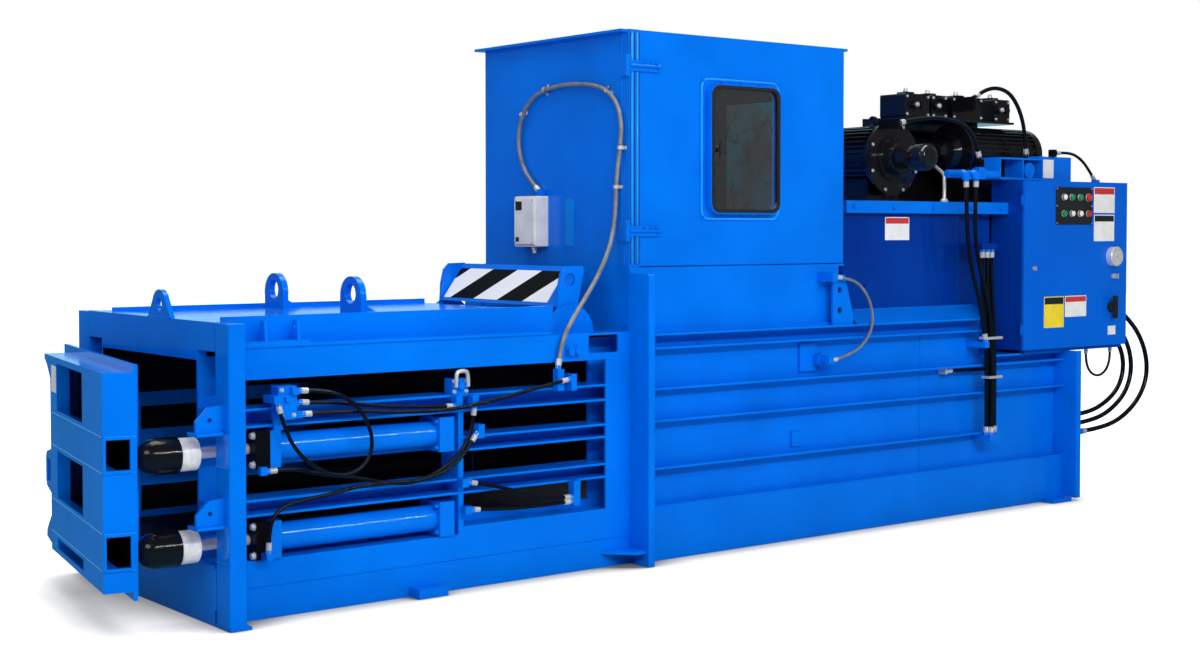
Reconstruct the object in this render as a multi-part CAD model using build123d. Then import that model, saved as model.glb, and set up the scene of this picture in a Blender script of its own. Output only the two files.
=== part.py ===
from build123d import *
import math
import os

os.makedirs("parts", exist_ok=True)

# Horizontal closed-door recycling baler, in millimetres.
# X runs along the machine from the discharge end, Y across it from the operator's side, Z up from the floor.
# Y is 0 on the centre line; near(d) and far(d) give a plane d in from either side of the machine.

# Whole machine
WIDTH = 1457.0
FRONT_END_X = 0.0
MID_POST_X = 2017.0
REAR_POST_X = 5078.0
ORIGIN_X = 2052.0
PAINT_GAP = 0.5
RUNNING_FIT = 0.05

# Bale chamber
LINER_T = 12.0
LINER_IN = 262.0
CHAMBER_FLOOR_Z = 262.0
CHAMBER_CEILING_Z = 1000.0
RAIL_FACE_IN = 133.0
RAIL_T = 10.0
RAIL_BANDS = ((398.0, 465.0), (575.0, 640.0), (740.0, 815.0))
TIE_SLOTS = ((290.0, 398.0), (465.0, 575.0), (640.0, 740.0), (815.0, 924.0))
TIE_SLOT_X = (165.0, 1880.0)
COVER_T = 6.0

# Posts
FRONT_POST_X = 71.0
FRONT_POST_Y = 118.0
FRONT_POST_Z = 1147.0
POST_WALL = 8.0
POST_CORNER = 9.0
POST_FOOT_T = 12.0
CHANNEL_DEPTH = 145.0
CHANNEL_FLANGE = 36.0
CHANNEL_T = 10.0
MID_POST_Z = 1302.0
REAR_POST_Z = 830.0
REAR_POST_FLANGE = 41.0
REAR_FOOT_Z = 18.0

# Base
BASE_LOW_Z = 125.0
BASE_TOP_Z = 230.0
BASE_SEAM = 3.0
BASE_FLANGE = 75.0
PRESS_BASE_IN = 100.0
PRESS_BASE_Z = 250.0
CROSS_WIDTH = 70.0
CROSS_FRONT_XS = (0.0, 660.0, 1330.0)
CROSS_REAR_XS = (2800.0, 3560.0, 4320.0)

# Top of the bale chamber
TOP_BEAM_Z = (924.0, 1046.0)
TOP_BEAM_END_X = 1545.0
ROOF_EDGE_IN = 200.0
ROOF_EDGE_Z = 1165.0
ROOF_Z = 1145.0
ROOF_T = 12.0
ROOF_END_X = 1640.0
END_BEAM_DEPTH = 90.0
END_BEAM_Z = (1040.0, 1150.0)
EYE_HOLE_R = 42.0
EYE_IN = 391.5
ROOF_RIB_PITCH = 400.0
ROOF_RIB_WIDTH = 36.0

# Press section
PRESS_WALL_IN = 156.0
PRESS_WALL_T = 10.0
PRESS_TOP_Z = 1021.0
PRESS_STEP_X = 4430.0
PRESS_REAR_Z = 820.0
DECK_T = 10.0
RIB_TIP_IN = 85.0
RIB_T = 10.0
RIB_ZS = (415.0, 630.0, 775.0, 959.0)
SKIRT_IN = 77.0
SKIRT_TOP_Z = 1095.0
TANK_IN = 190.0

# Feed throat and hopper
THROAT_X = (2031.0, 3363.0)
THROAT_IN = 150.0
THROAT_T = 8.0
HOPPER_X = (2031.0, 3399.0)
HOPPER_IN = 167.0
HOPPER_Z = (1328.0, 2393.0)
HOPPER_T = 6.0
HOPPER_LIP = 39.0
HOPPER_LIP_T = 12.0
CORNER_POST = 59.0
WINDOW_MARGIN_X = (449.0, 474.0)
WINDOW_MARGIN_Z = (242.0, 221.0)
WINDOW_X = (HOPPER_X[0] + WINDOW_MARGIN_X[0], HOPPER_X[1] - WINDOW_MARGIN_X[1])
WINDOW_Z = (HOPPER_Z[0] + WINDOW_MARGIN_Z[0], HOPPER_Z[1] - WINDOW_MARGIN_Z[1])
WINDOW_CORNER = 55.0
WINDOW_FLANGE = 26.0
WINDOW_COLLAR = 46.0
GASKET_W = 16.0
LATCH_INSET = 42.0
LATCH_LENGTH = 74.0
PANE_T = 6.0
DOOR_PIN_X = 2018.0
DOOR_PIN_IN = 150.0
DOOR_PIN_R = 6.0
DOOR_HINGE_INSET = 163.0
DOOR_HINGE_ZS = (HOPPER_Z[0] + DOOR_HINGE_INSET, HOPPER_Z[1] - DOOR_HINGE_INSET)
DOOR_STRAP_LENGTH = 187.0

# Discharge door, drawn shut and then turned open about its hinge
DOOR_OPEN = 10.6
HINGE_X = -45.0
HINGE_IN = 127.0
HINGE_STANDOFF = 26.0
HINGE_EYE_R = 23.0
HINGE_PIN_R = 12.0
HINGE_ZS = (262.0, 520.0, 915.0)
HINGE_EAR_T = 16.0
HINGE_KNUCKLE_H = 56.0
DOOR_NEAR_IN = 132.0
DOOR_FAR_IN = 13.0
DOOR_BOX_FAR_IN = 288.0
DOOR_LIP_FAR_IN = 158.0
DOOR_Z = (133.0, 1004.0)
DOOR_PLATE_T = 16.0
DOOR_DEPTH = 125.0
DOOR_SKIN_T = 10.0
DOOR_FRAME_Z = (167.0, 975.0)
DOOR_TUBE_ZS = ((248.0, 385.0), (608.0, 741.0))
DOOR_TUBE_WALL = 10.0
DOOR_TUBE_PROUD = 8.0
DOOR_SLOT_Y = (-225.0, 300.0)
DOOR_SLOT_ZS = ((190.0, 232.0), (400.0, 592.0), (758.0, 950.0))
DOOR_RIM_DEPTH = 52.0
DOOR_EAR_REACH = 118.0
DOOR_EAR_CORNER = 18.0

# Door cylinders
CYL_IN = 190.0
CYL_ZS = (304.0, 654.0)
ROD_R = 22.0
BORE_R = 45.0
BARREL_R = 54.0
GLAND_X = (168.0, 230.0)
FLANGE_X = (230.0, 275.0)
HEAD_X = (1000.0, 1071.0)
GLAND_HEIGHT = 146.0
HEAD_SIDE = 142.0
ANCHOR_X = (1100.0, 1125.0)
COUPLING_R = 70.0
COUPLING_REAR_X = -128.0
BAND_R = 63.0
BAND_REAR_X = -52.0
DOME_GAP = 1.0
PISTON_X = (715.0, 765.0)

# Ram and main cylinder
RAM_X = (3400.0, 4380.0)
RAM_CLEAR = 3.0
RAM_SKIN = 14.0
RAM_FACE_T = 40.0
MAIN_AXIS_Z = 630.0
MAIN_R = 115.0
MAIN_BORE_R = 90.0
MAIN_X = (3460.0, 5078.0)
MAIN_HEAD_T = 40.0
MAIN_ROD_R = 60.0
MAIN_PISTON_X = (4960.0, 5030.0)
BULKHEAD_T = 30.0

# Safety flap over the chamber's end
FLAP_HINGE_X = 1765.0
FLAP_HINGE_Z = 1080.0
FLAP_ARM_IN = 250.0
FLAP_ARM_T = 12.0
FLAP_BRACKET_IN = 234.0
FLAP_BRACKET_T = 14.0
FLAP_BRACKET_R = 124.0
FLAP_PIN_R = 14.0
FLAP_EYE_R = 34.0

# Oil tank, deck and drives
TANK_X = (3430.0, 4325.0)
TANK_TOP_Z = 1581.0
TANK_SETBACK = 40.0
DECK_LEG = 60.0
DECK_Z = 1643.0
DECK_IN = 150.0
DECK_END_X = 4669.0
MOTOR_X = 3875.0
MOTOR_FACE_IN = 261.0
MOTOR_R = 192.0
MOTOR_AXIS_Z = 1866.0
MOTOR_LENGTH = 520.0

# Control box
BOX_X = (4669.0, 5590.0)
BOX_Z = (847.0, 1762.0)
BOX_DOOR_IN = 45.0
BOX_DOOR_T = 12.0
BOX_BACK_IN = 265.0
BOX_T = 5.0
BOX_HINGE_X = 4660.0
BOX_HINGE_IN = 50.0
PANEL_X = (4940.0, 5264.0)
PANEL_Z = (1525.0, 1730.0)
PANEL_T = 4.0
BUTTON_XS = (5006.0, 5075.0, 5148.0, 5224.0)
BUTTON_ZS = (1586.0, 1676.0)
BUTTON_STEM_R = 11.0
BUTTON_CAP_R = 17.0
BUTTON_GAP = 5.0
PILOTS = ((5006.0, 1676.0), (5075.0, 1586.0), (5148.0, 1586.0))
BOX_HINGE_ZS = (959.0, 1656.0)
BOX_PIN_R = 4.0
GAUGE_AT = (5453.0, 1347.0)
KEY_AT = (5460.0, 1236.0)
KEY_R = 14.0
HANDLE_AT = (5441.0, 1062.0)
HANDLE_R = 30.0
LOCK_AT = (4756.0, 1288.0)
LOCK_R = 12.0

# Second motor
AUX_X = 4540.0
AUX_IN = 450.0
AUX_Z = 1925.0
AUX_R = 155.0
AUX_LENGTH = 650.0

# Header pipe that feeds the two hoses hanging in front of the tank
HEADER_IN = 150.0
HEADER_Z = 1790.0
HEADER_R = 22.0
ELBOW_R = 20.0
ELBOW_BEND_R = 24.0
ELBOW_COLLAR = 14.0
ELBOW_LAP = 6.0
BUNDLE_BRACKET_X = (4326.0, 4450.0)
BUNDLE_BRACKET_IN = 46.0
BUNDLE_BRACKET_Z = (1394.0, 1424.0)

# Hoses: outside diameters and the crimped sleeves at their ends
FRONT_HOSE_D = 16.0
BUNDLE_HOSE_D = 22.0
REAR_HOSE_D = 26.0
CONDUIT_D = 20.0
SENSOR_D = 14.0
SLEEVE_LENGTH = 45.0
SLEEVE_EXTRA = 3.0

HALF = WIDTH / 2


def near(depth):
    """Y of a plane that lies depth in from the operator's side."""
    return depth - HALF


def far(depth):
    """Y of a plane that lies depth in from the far side."""
    return HALF - depth


def block(x, y, z):
    """Box between two limits on each axis."""
    centre = ((x[0] + x[1]) / 2, (y[0] + y[1]) / 2, (z[0] + z[1]) / 2)
    return Pos(*centre) * Box(abs(x[1] - x[0]), abs(y[1] - y[0]), abs(z[1] - z[0]))


def rod(start, end, radius):
    """Round bar between two points."""
    axis = Vector(*end) - Vector(*start)
    return Solid.make_cylinder(radius, axis.length, Plane(origin=start, z_dir=axis))


def sheet_xz(outline, y, thickness):
    """Plate cut to an XZ outline, lying from y to y + thickness."""
    face = Plane(origin=(0, y, 0), x_dir=(1, 0, 0), z_dir=(0, -1, 0)) * outline
    return extrude(face, -thickness)


def sheet_yz(outline, x, thickness):
    """Plate cut to a YZ outline, lying from x to x + thickness."""
    face = Plane(origin=(x, 0, 0), x_dir=(0, 1, 0), z_dir=(1, 0, 0)) * outline
    return extrude(face, thickness)


def sheet_xy(outline, z, thickness):
    """Plate cut to an XY outline, lying from z to z + thickness."""
    return extrude(Pos(0, 0, z) * outline, thickness)


def outline(*points):
    """Closed straight-sided face through the points."""
    return make_face(Polyline(*points, close=True))


def channel_x(x, web_y, tip_y, z, thickness):
    """Channel running along X, its web at web_y and its flanges reaching tip_y."""
    side = 1 if tip_y > web_y else -1
    whole = block(x, (web_y, tip_y), z)
    inside = block((x[0] - 1, x[1] + 1), (web_y + side * thickness, tip_y + side), (z[0] + thickness, z[1] - thickness))
    return whole - inside


def channel_z(web_x, tip_x, y, z, thickness):
    """Upright channel, its web at web_x and its flanges reaching tip_x."""
    side = 1 if tip_x > web_x else -1
    whole = block((web_x, tip_x), y, z)
    inside = block((web_x + side * thickness, tip_x + side), (y[0] + thickness, y[1] - thickness), (z[0] - 1, z[1] + 1))
    return whole - inside


def channel_y(x, y, z, thickness):
    """Channel running across the machine, open towards +X."""
    inside = block((x[0] + thickness, x[1] + 1), (y[0] - 1, y[1] + 1), (z[0] + thickness, z[1] - thickness))
    return block(x, y, z) - inside


def other_side(shape):
    """The same piece on the far side of the machine."""
    return mirror(shape, about=Plane.XZ)


# Base frame: long channels, cross beams, feet and the lip that carries the walls
def make_base():
    inner = LINER_IN + LINER_T
    seam_low = BASE_LOW_Z - BASE_SEAM / 2
    seam_high = BASE_LOW_Z + BASE_SEAM / 2
    x = (FRONT_END_X, MID_POST_X)
    side = channel_x(x, near(RAIL_FACE_IN), near(inner), (0, seam_low), RAIL_T)
    side += channel_x(x, near(RAIL_FACE_IN), near(inner), (seam_high, BASE_TOP_Z), RAIL_T)
    side += block(x, (near(RAIL_FACE_IN) + BASE_SEAM, near(inner)), (seam_low - 1, seam_high + 1))
    rear_x = (MID_POST_X + CHANNEL_FLANGE, REAR_POST_X)
    side += channel_x(rear_x, near(PRESS_BASE_IN), near(inner), (0, PRESS_BASE_Z), RAIL_T)
    lip_x = (ANCHOR_X[1], MID_POST_X)
    side += block(lip_x, (near(RAIL_FACE_IN), near(RAIL_FACE_IN) + RAIL_T), (BASE_TOP_Z, CHAMBER_FLOOR_Z - 1))
    side += block(lip_x, (near(RAIL_FACE_IN), near(LINER_IN)), (CHAMBER_FLOOR_Z - 11, CHAMBER_FLOOR_Z - 1))
    side += block((860, 1000), (near(57), near(RAIL_FACE_IN)), (0, 40))
    side += block((4906, 5066), (near(16), near(PRESS_BASE_IN)), (0, 20))
    toe = outline((1850, near(RAIL_FACE_IN)), (MID_POST_X, near(RAIL_FACE_IN)), (MID_POST_X, near(16)), (1960, near(16)))
    side += sheet_xy(toe, 60, 15)
    frame = side + other_side(side)
    web = RAIL_FACE_IN + RAIL_T
    top = PRESS_BASE_Z
    for start in CROSS_FRONT_XS:
        beam_x = (start, start + CROSS_WIDTH)
        frame += channel_y(beam_x, (near(web), far(web)), (0, BASE_TOP_Z), RAIL_T)
        frame += block(beam_x, (near(inner), far(inner)), (BASE_TOP_Z, top))
    for start in CROSS_REAR_XS:
        frame += channel_y((start, start + CROSS_WIDTH), (near(web), far(web)), (0, top), RAIL_T)
    middle = (ORIGIN_X - CROSS_WIDTH / 2, ORIGIN_X + CROSS_WIDTH / 2)
    frame += block(middle, (near(CHANNEL_DEPTH), far(CHANNEL_DEPTH)), (0, top))
    frame += channel_y((REAR_POST_X - CROSS_WIDTH, REAR_POST_X), (near(web), far(web)), (0, top), RAIL_T)
    for y in ((near(CHANNEL_DEPTH), near(0)), (far(CHANNEL_DEPTH), far(0))):
        frame -= block((MID_POST_X, MID_POST_X + CHANNEL_FLANGE), y, (0, top + 1))
    return frame


# Front posts: capped box sections on foot plates, with packers to the base and rails
def make_front_post():
    x = (FRONT_END_X, FRONT_END_X + FRONT_POST_X)
    middle = Pos(FRONT_END_X + FRONT_POST_X / 2, near(FRONT_POST_Y / 2), 0)
    section = RectangleRounded(FRONT_POST_X, FRONT_POST_Y, POST_CORNER)
    bore = RectangleRounded(FRONT_POST_X - 2 * POST_WALL, FRONT_POST_Y - 2 * POST_WALL, 2)
    height = FRONT_POST_Z - POST_FOOT_T
    post = middle * Pos(0, 0, POST_FOOT_T) * extrude(section, height)
    post -= middle * Pos(0, 0, POST_FOOT_T) * extrude(bore, height - POST_WALL)
    post += block((x[0], x[1] + 17), (near(-2), near(FRONT_POST_Y + 2)), (0, POST_FOOT_T))
    for z in ((60, 220), RAIL_BANDS[0], RAIL_BANDS[2]):
        post += block(x, (near(FRONT_POST_Y), near(RAIL_FACE_IN)), z)
    return post


def make_pin_lugs():
    """Two pierced lugs on the near post, for the pins that lock the door."""
    lugs = None
    for hole_z in (443.0, 791.0):
        foot = hole_z - 46
        shape = outline((-110, foot), (-110, foot + 45), (-60, foot + 95), (0, foot + 100), (0, foot))
        shape -= Pos(-55, hole_z) * Circle(9)
        lug = sheet_xz(shape, near(48), 16)
        lug += block((-114, 0), (near(34), near(116)), (foot - 12, foot))
        lugs = lug if lugs is None else lugs + lug
    return lugs


def make_hinge_brackets():
    """Ears on the far post, above and below each knuckle of the door."""
    ears = None
    eye = Pos(HINGE_X, far(HINGE_IN)) * Circle(HINGE_EYE_R)
    root = outline((4, far(60)), (HINGE_X + 10, far(HINGE_IN - 20)), (HINGE_X + 2, far(HINGE_IN + 20)), (4, far(105)))
    hole = Pos(HINGE_X, far(HINGE_IN)) * Circle(HINGE_PIN_R)
    shape = eye + root - hole
    for z in HINGE_ZS:
        for bottom in (z - HINGE_KNUCKLE_H / 2 - HINGE_EAR_T, z + HINGE_KNUCKLE_H / 2):
            ear = sheet_xy(shape, bottom, HINGE_EAR_T)
            ears = ear if ears is None else ears + ear
    return ears


# Mid and rear posts: channels with their webs across the machine
def make_posts(web_x, flange, depth, z, corner):
    post = channel_z(web_x, web_x + flange, (near(0), near(depth)), z, CHANNEL_T)
    tips = post.edges().filter_by(Axis.X).filter_by_position(Axis.Z, z[1] - 1, z[1] + 1).sort_by(Axis.Y)
    return fillet(tips[0], corner) if corner else post


# Slotted side wall: liner, rails, closing plates and the cylinders' anchor plate
def make_side_wall(slots_open):
    end = MID_POST_X + CHANNEL_FLANGE
    wall = block((FRONT_END_X, end), (near(LINER_IN), near(LINER_IN + LINER_T)), (BASE_TOP_Z, CHAMBER_CEILING_Z + 12))
    for z in TIE_SLOTS:
        wall -= block(TIE_SLOT_X, (near(LINER_IN) - 1, near(LINER_IN + LINER_T) + 1), z)
    if not slots_open:
        cover = (near(LINER_IN - COVER_T), near(LINER_IN))
        wall += block((TIE_SLOT_X[0] - 20, end), cover, (CHAMBER_FLOOR_Z - 1, TOP_BEAM_Z[0] + 20))
    for z, start in zip(RAIL_BANDS, (FRONT_END_X, ANCHOR_X[0], FRONT_END_X)):
        rail = channel_x((start, MID_POST_X), near(LINER_IN) - RAIL_T, near(RAIL_FACE_IN), z, RAIL_T)
        wall += rail + block((start, MID_POST_X), (near(LINER_IN) - RAIL_T, near(LINER_IN)), z)
    wall += block(ANCHOR_X, (near(RAIL_FACE_IN), near(LINER_IN)), (BASE_TOP_Z, RAIL_BANDS[2][0] + RAIL_T))
    face = (near(RAIL_FACE_IN), near(RAIL_FACE_IN) + RAIL_T)
    shut = block((TIE_SLOT_X[1], MID_POST_X), face, (CHAMBER_FLOOR_Z - 1, TOP_BEAM_Z[0]))
    shut += block((TOP_BEAM_END_X, MID_POST_X), face, (TOP_BEAM_Z[0], TOP_BEAM_Z[1] - 13))
    hatch = RectangleRounded(165, 78, 10)
    shut -= sheet_xz(Pos(1867.5, 994) * hatch, near(RAIL_FACE_IN) - 5, 20)
    shut += block((TOP_BEAM_END_X, MID_POST_X), (near(RAIL_FACE_IN), near(LINER_IN)), (TOP_BEAM_Z[1] - 13, TOP_BEAM_Z[1] - 3))
    wall += shut
    bolt_plate = block((1657, 1728), (near(RAIL_FACE_IN) - 10, near(RAIL_FACE_IN)), (945, 992))
    for x in (1673.0, 1712.0):
        centre = (x, near(RAIL_FACE_IN) - 10, 968.5)
        bolt_plate += rod(centre, (x, centre[1] - 18, centre[2]), 16)
    return wall + bolt_plate


# Roof of the bale chamber: side beams, set-back plates, ribs and the end beam
def make_roof():
    top = TOP_BEAM_Z
    x = (FRONT_POST_X, TOP_BEAM_END_X)
    beam = channel_x(x, near(RAIL_FACE_IN), near(LINER_IN - COVER_T), top, RAIL_T)
    beam += block((x[0], ROOF_END_X), (near(ROOF_EDGE_IN), near(ROOF_EDGE_IN + 16)), (top[1], ROOF_EDGE_Z))
    beam += block((x[0], TOP_BEAM_END_X + 30), (near(RAIL_FACE_IN) - 8, near(ROOF_EDGE_IN)), (top[1], top[1] + 12))
    roof = beam + other_side(beam)
    inside = LINER_IN + LINER_T
    roof += block((x[0], ROOF_END_X), (near(ROOF_EDGE_IN), far(ROOF_EDGE_IN)), (ROOF_Z - ROOF_T, ROOF_Z))
    roof += block((FRONT_END_X, ROOF_END_X), (near(inside), far(inside)), (CHAMBER_CEILING_Z, CHAMBER_CEILING_Z + 12))
    last_rib = ROOF_END_X - ROOF_RIB_WIDTH
    rib_count = int((last_rib - FRONT_END_X) // ROOF_RIB_PITCH)
    for start in [FRONT_END_X + step * ROOF_RIB_PITCH for step in range(rib_count)] + [last_rib]:
        rib = (start, start + ROOF_RIB_WIDTH)
        roof += block(rib, (near(LINER_IN), far(LINER_IN)), (CHAMBER_CEILING_Z + 12, ROOF_Z - ROOF_T))
    ends = (near(FRONT_POST_Y), far(FRONT_POST_Y))
    roof += block((FRONT_END_X, FRONT_END_X + END_BEAM_DEPTH), ends, END_BEAM_Z)
    lug = outline((near(519), 1150), (near(567), 1222), (near(685), 1222), (near(732), 1150))
    lug += Pos(near(626), 1196) * Circle(64)
    lug -= Pos(near(626), 1200) * Circle(26)
    return roof + sheet_yz(lug, 5, 20)


def make_ledge_bracket():
    """Two pierced lugs on a foot, standing on the near roof ledge."""
    ledge = TOP_BEAM_Z[1] + 12
    bracket = block((131, 408), (near(128), near(194)), (ledge, ledge + 12))
    lug = outline((near(128), ledge), (near(138), 1148), (near(172), 1148), (near(190), ledge))
    lug -= Pos(near(155), 1126) * Circle(9)
    for x in (216.0, 356.0):
        bracket += sheet_yz(lug, x, 12)
    return bracket


# Lifting eyes on the roof
def make_lifting_eyes():
    eyes = None
    for y in (near(EYE_IN), far(EYE_IN)):
        body = Pos(y, ROOF_Z + 75) * Circle(85) + Pos(y, ROOF_Z + 37) * Rectangle(170, 74)
        body -= Pos(y, ROOF_Z - 100) * Rectangle(400, 200)
        body -= Pos(y, ROOF_Z + 88) * Circle(EYE_HOLE_R)
        plate = sheet_yz(body, 740, 28)
        gusset = outline((768, ROOF_Z), (880, ROOF_Z), (768, ROOF_Z + 60))
        plate += sheet_xz(gusset, y - 8, 16)
        eyes = plate if eyes is None else eyes + plate
    return eyes


# Press section: double walls with outside ribs
def make_press_wall():
    start = MID_POST_X + CHANNEL_FLANGE
    shape = outline(
        (start, PRESS_BASE_Z), (start, PRESS_TOP_Z), (PRESS_STEP_X, PRESS_TOP_Z),
        (PRESS_STEP_X, PRESS_REAR_Z), (REAR_POST_X, PRESS_REAR_Z), (REAR_POST_X, PRESS_BASE_Z),
    )
    wall = sheet_xz(shape, near(PRESS_WALL_IN), LINER_IN + LINER_T - PRESS_WALL_IN)
    hollow = (near(PRESS_WALL_IN + PRESS_WALL_T), near(LINER_IN))
    low = PRESS_BASE_Z + PRESS_WALL_T
    stations = (start, 2760.0, 3480.0, 3969.0, PRESS_STEP_X, REAR_POST_X)
    tops = (PRESS_TOP_Z, PRESS_TOP_Z, PRESS_TOP_Z, PRESS_TOP_Z, PRESS_REAR_Z)
    for left, right, top in zip(stations, stations[1:], tops):
        wall -= block((left + PRESS_WALL_T, right - PRESS_WALL_T), hollow, (low, top - PRESS_WALL_T))
    tips = (near(RIB_TIP_IN), near(PRESS_WALL_IN))
    for z, end in zip(RIB_ZS, (4409.0, REAR_POST_X, REAR_POST_X, 4385.0)):
        wall += block((start, end), tips, (z, z + RIB_T))
    wall += block((3041, 3103), (near(PRESS_WALL_IN) - 12, near(PRESS_WALL_IN)), (446, 519))
    return wall


def make_sensor_bracket():
    """Stub plate and round plug on the near press wall."""
    y = near(PRESS_WALL_IN)
    bracket = block((3090, 3200), (y - 14, y), (806, 945))
    bracket += rod((3208, y - 14, 862), (3208, y - 50, 862), 30)
    bracket += rod((3208, y - 50, 862), (3208, y - 90, 862), 22)
    return bracket + block((3178, 3208), (y - 40, y - 14), (840, 884))


# Roof of the press section, with the skirts that carry the tank
def make_press_roof():
    start = MID_POST_X + CHANNEL_FLANGE
    top = PRESS_TOP_Z + DECK_T
    inside = LINER_IN + LINER_T
    roof = block((start, PRESS_STEP_X), (near(SKIRT_IN), far(SKIRT_IN)), (PRESS_TOP_Z, top))
    for y in ((near(0), near(CHANNEL_DEPTH)), (far(CHANNEL_DEPTH), far(0))):
        roof -= block((start - 1, start), y, (PRESS_TOP_Z - 1, top + 1))
    roof -= block((start - 1, THROAT_X[1] - THROAT_T), (near(inside), far(inside)), (PRESS_TOP_Z - 1, top + 1))
    skirt = outline(
        (near(SKIRT_IN), top), (near(TANK_IN), SKIRT_TOP_Z), (near(TANK_IN + 30), SKIRT_TOP_Z),
        (near(TANK_IN + 30), SKIRT_TOP_Z - 8), (near(TANK_IN + 4), SKIRT_TOP_Z - 8), (near(SKIRT_IN + 14), top),
    )
    near_skirt = sheet_yz(skirt, TANK_X[0], PRESS_STEP_X - TANK_X[0])
    near_skirt += block((TANK_X[0], PRESS_STEP_X), (near(TANK_IN + 22), near(TANK_IN + 30)), (top, SKIRT_TOP_Z))
    roof += near_skirt + other_side(near_skirt)
    for x in (TANK_X[0], TANK_X[0] + 430, PRESS_STEP_X - 10):
        roof += block((x, x + 10), (near(TANK_IN + 22), far(TANK_IN + 22)), (top, SKIRT_TOP_Z))
    rear = (PRESS_STEP_X, REAR_POST_X)
    roof += block(rear, (near(RIB_TIP_IN), far(RIB_TIP_IN)), (PRESS_REAR_Z, PRESS_REAR_Z + DECK_T))
    roof += block((PRESS_STEP_X, PRESS_STEP_X + 10), (near(PRESS_WALL_IN), far(PRESS_WALL_IN)), (PRESS_REAR_Z, top))
    return roof


# Chamber floor
def make_floor():
    inside = LINER_IN + LINER_T
    return block((FRONT_END_X, REAR_POST_X), (near(inside), far(inside)), (PRESS_BASE_Z, CHAMBER_FLOOR_Z))


# Feed throat between the press section and the hopper
def make_throat():
    x = THROAT_X
    top = PRESS_TOP_Z + DECK_T
    y = (near(THROAT_IN), far(THROAT_IN))
    throat = block(x, y, (top, HOPPER_Z[0]))
    throat += block((x[0], HOPPER_X[1]), y, (HOPPER_Z[0] - 10, HOPPER_Z[0]))
    inner = HOPPER_IN + HOPPER_T
    throat -= block((x[0] + THROAT_T, x[1] - THROAT_T), (near(inner), far(inner)), (top - 1, HOPPER_Z[0] + 1))
    foot = block((MID_POST_X + CHANNEL_FLANGE, x[1]), (near(THROAT_IN) - 22, near(THROAT_IN)), (top, top + 12))
    packer = block((x[0], MID_POST_X + CHANNEL_FLANGE), (near(CHANNEL_DEPTH), near(THROAT_IN)), (top, MID_POST_Z))
    throat += foot + other_side(foot) + packer + other_side(packer)
    gusset = outline((3270, top), (3412, top), (3412, top + 40), (3352, HOPPER_Z[0] - 52), (3270, HOPPER_Z[0] - 52))
    gusset -= Pos(3318, top + 70) * Circle(16)
    gusset -= Pos(3318, top + 170) * Circle(16)
    throat += sheet_xz(gusset, near(96), 14)
    throat += block((3270, 3352), (near(96), near(THROAT_IN)), (HOPPER_Z[0] - 66, HOPPER_Z[0] - 52))
    return throat


# Hopper: three sides, a corner post, a flared lip and the far window's collar
def window_ring(grow, corner):
    width = WINDOW_X[1] - WINDOW_X[0] + 2 * grow
    height = WINDOW_Z[1] - WINDOW_Z[0] + 2 * grow
    centre = Pos((WINDOW_X[0] + WINDOW_X[1]) / 2, (WINDOW_Z[0] + WINDOW_Z[1]) / 2)
    return centre * RectangleRounded(width, height, corner)


def window_collar(panel_y):
    """Flange and collar standing out from the near face of a wall at panel_y."""
    flange = window_ring(WINDOW_FLANGE, 12) - window_ring(-HOPPER_T, WINDOW_CORNER - HOPPER_T)
    collar = window_ring(0, WINDOW_CORNER) - window_ring(-HOPPER_T, WINDOW_CORNER - HOPPER_T)
    return sheet_xz(flange, panel_y - 5, 5) + sheet_xz(collar, panel_y - WINDOW_COLLAR, WINDOW_COLLAR)


def window_gasket(panel_y):
    seal = window_ring(-HOPPER_T, WINDOW_CORNER - HOPPER_T) - window_ring(-HOPPER_T - GASKET_W, WINDOW_CORNER - GASKET_W)
    return sheet_xz(seal, panel_y - WINDOW_COLLAR - 4, 22)


def window_pane(panel_y):
    pane = window_ring(-HOPPER_T - GASKET_W, WINDOW_CORNER - GASKET_W)
    return sheet_xz(pane, panel_y - WINDOW_COLLAR + 6, PANE_T)


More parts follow.
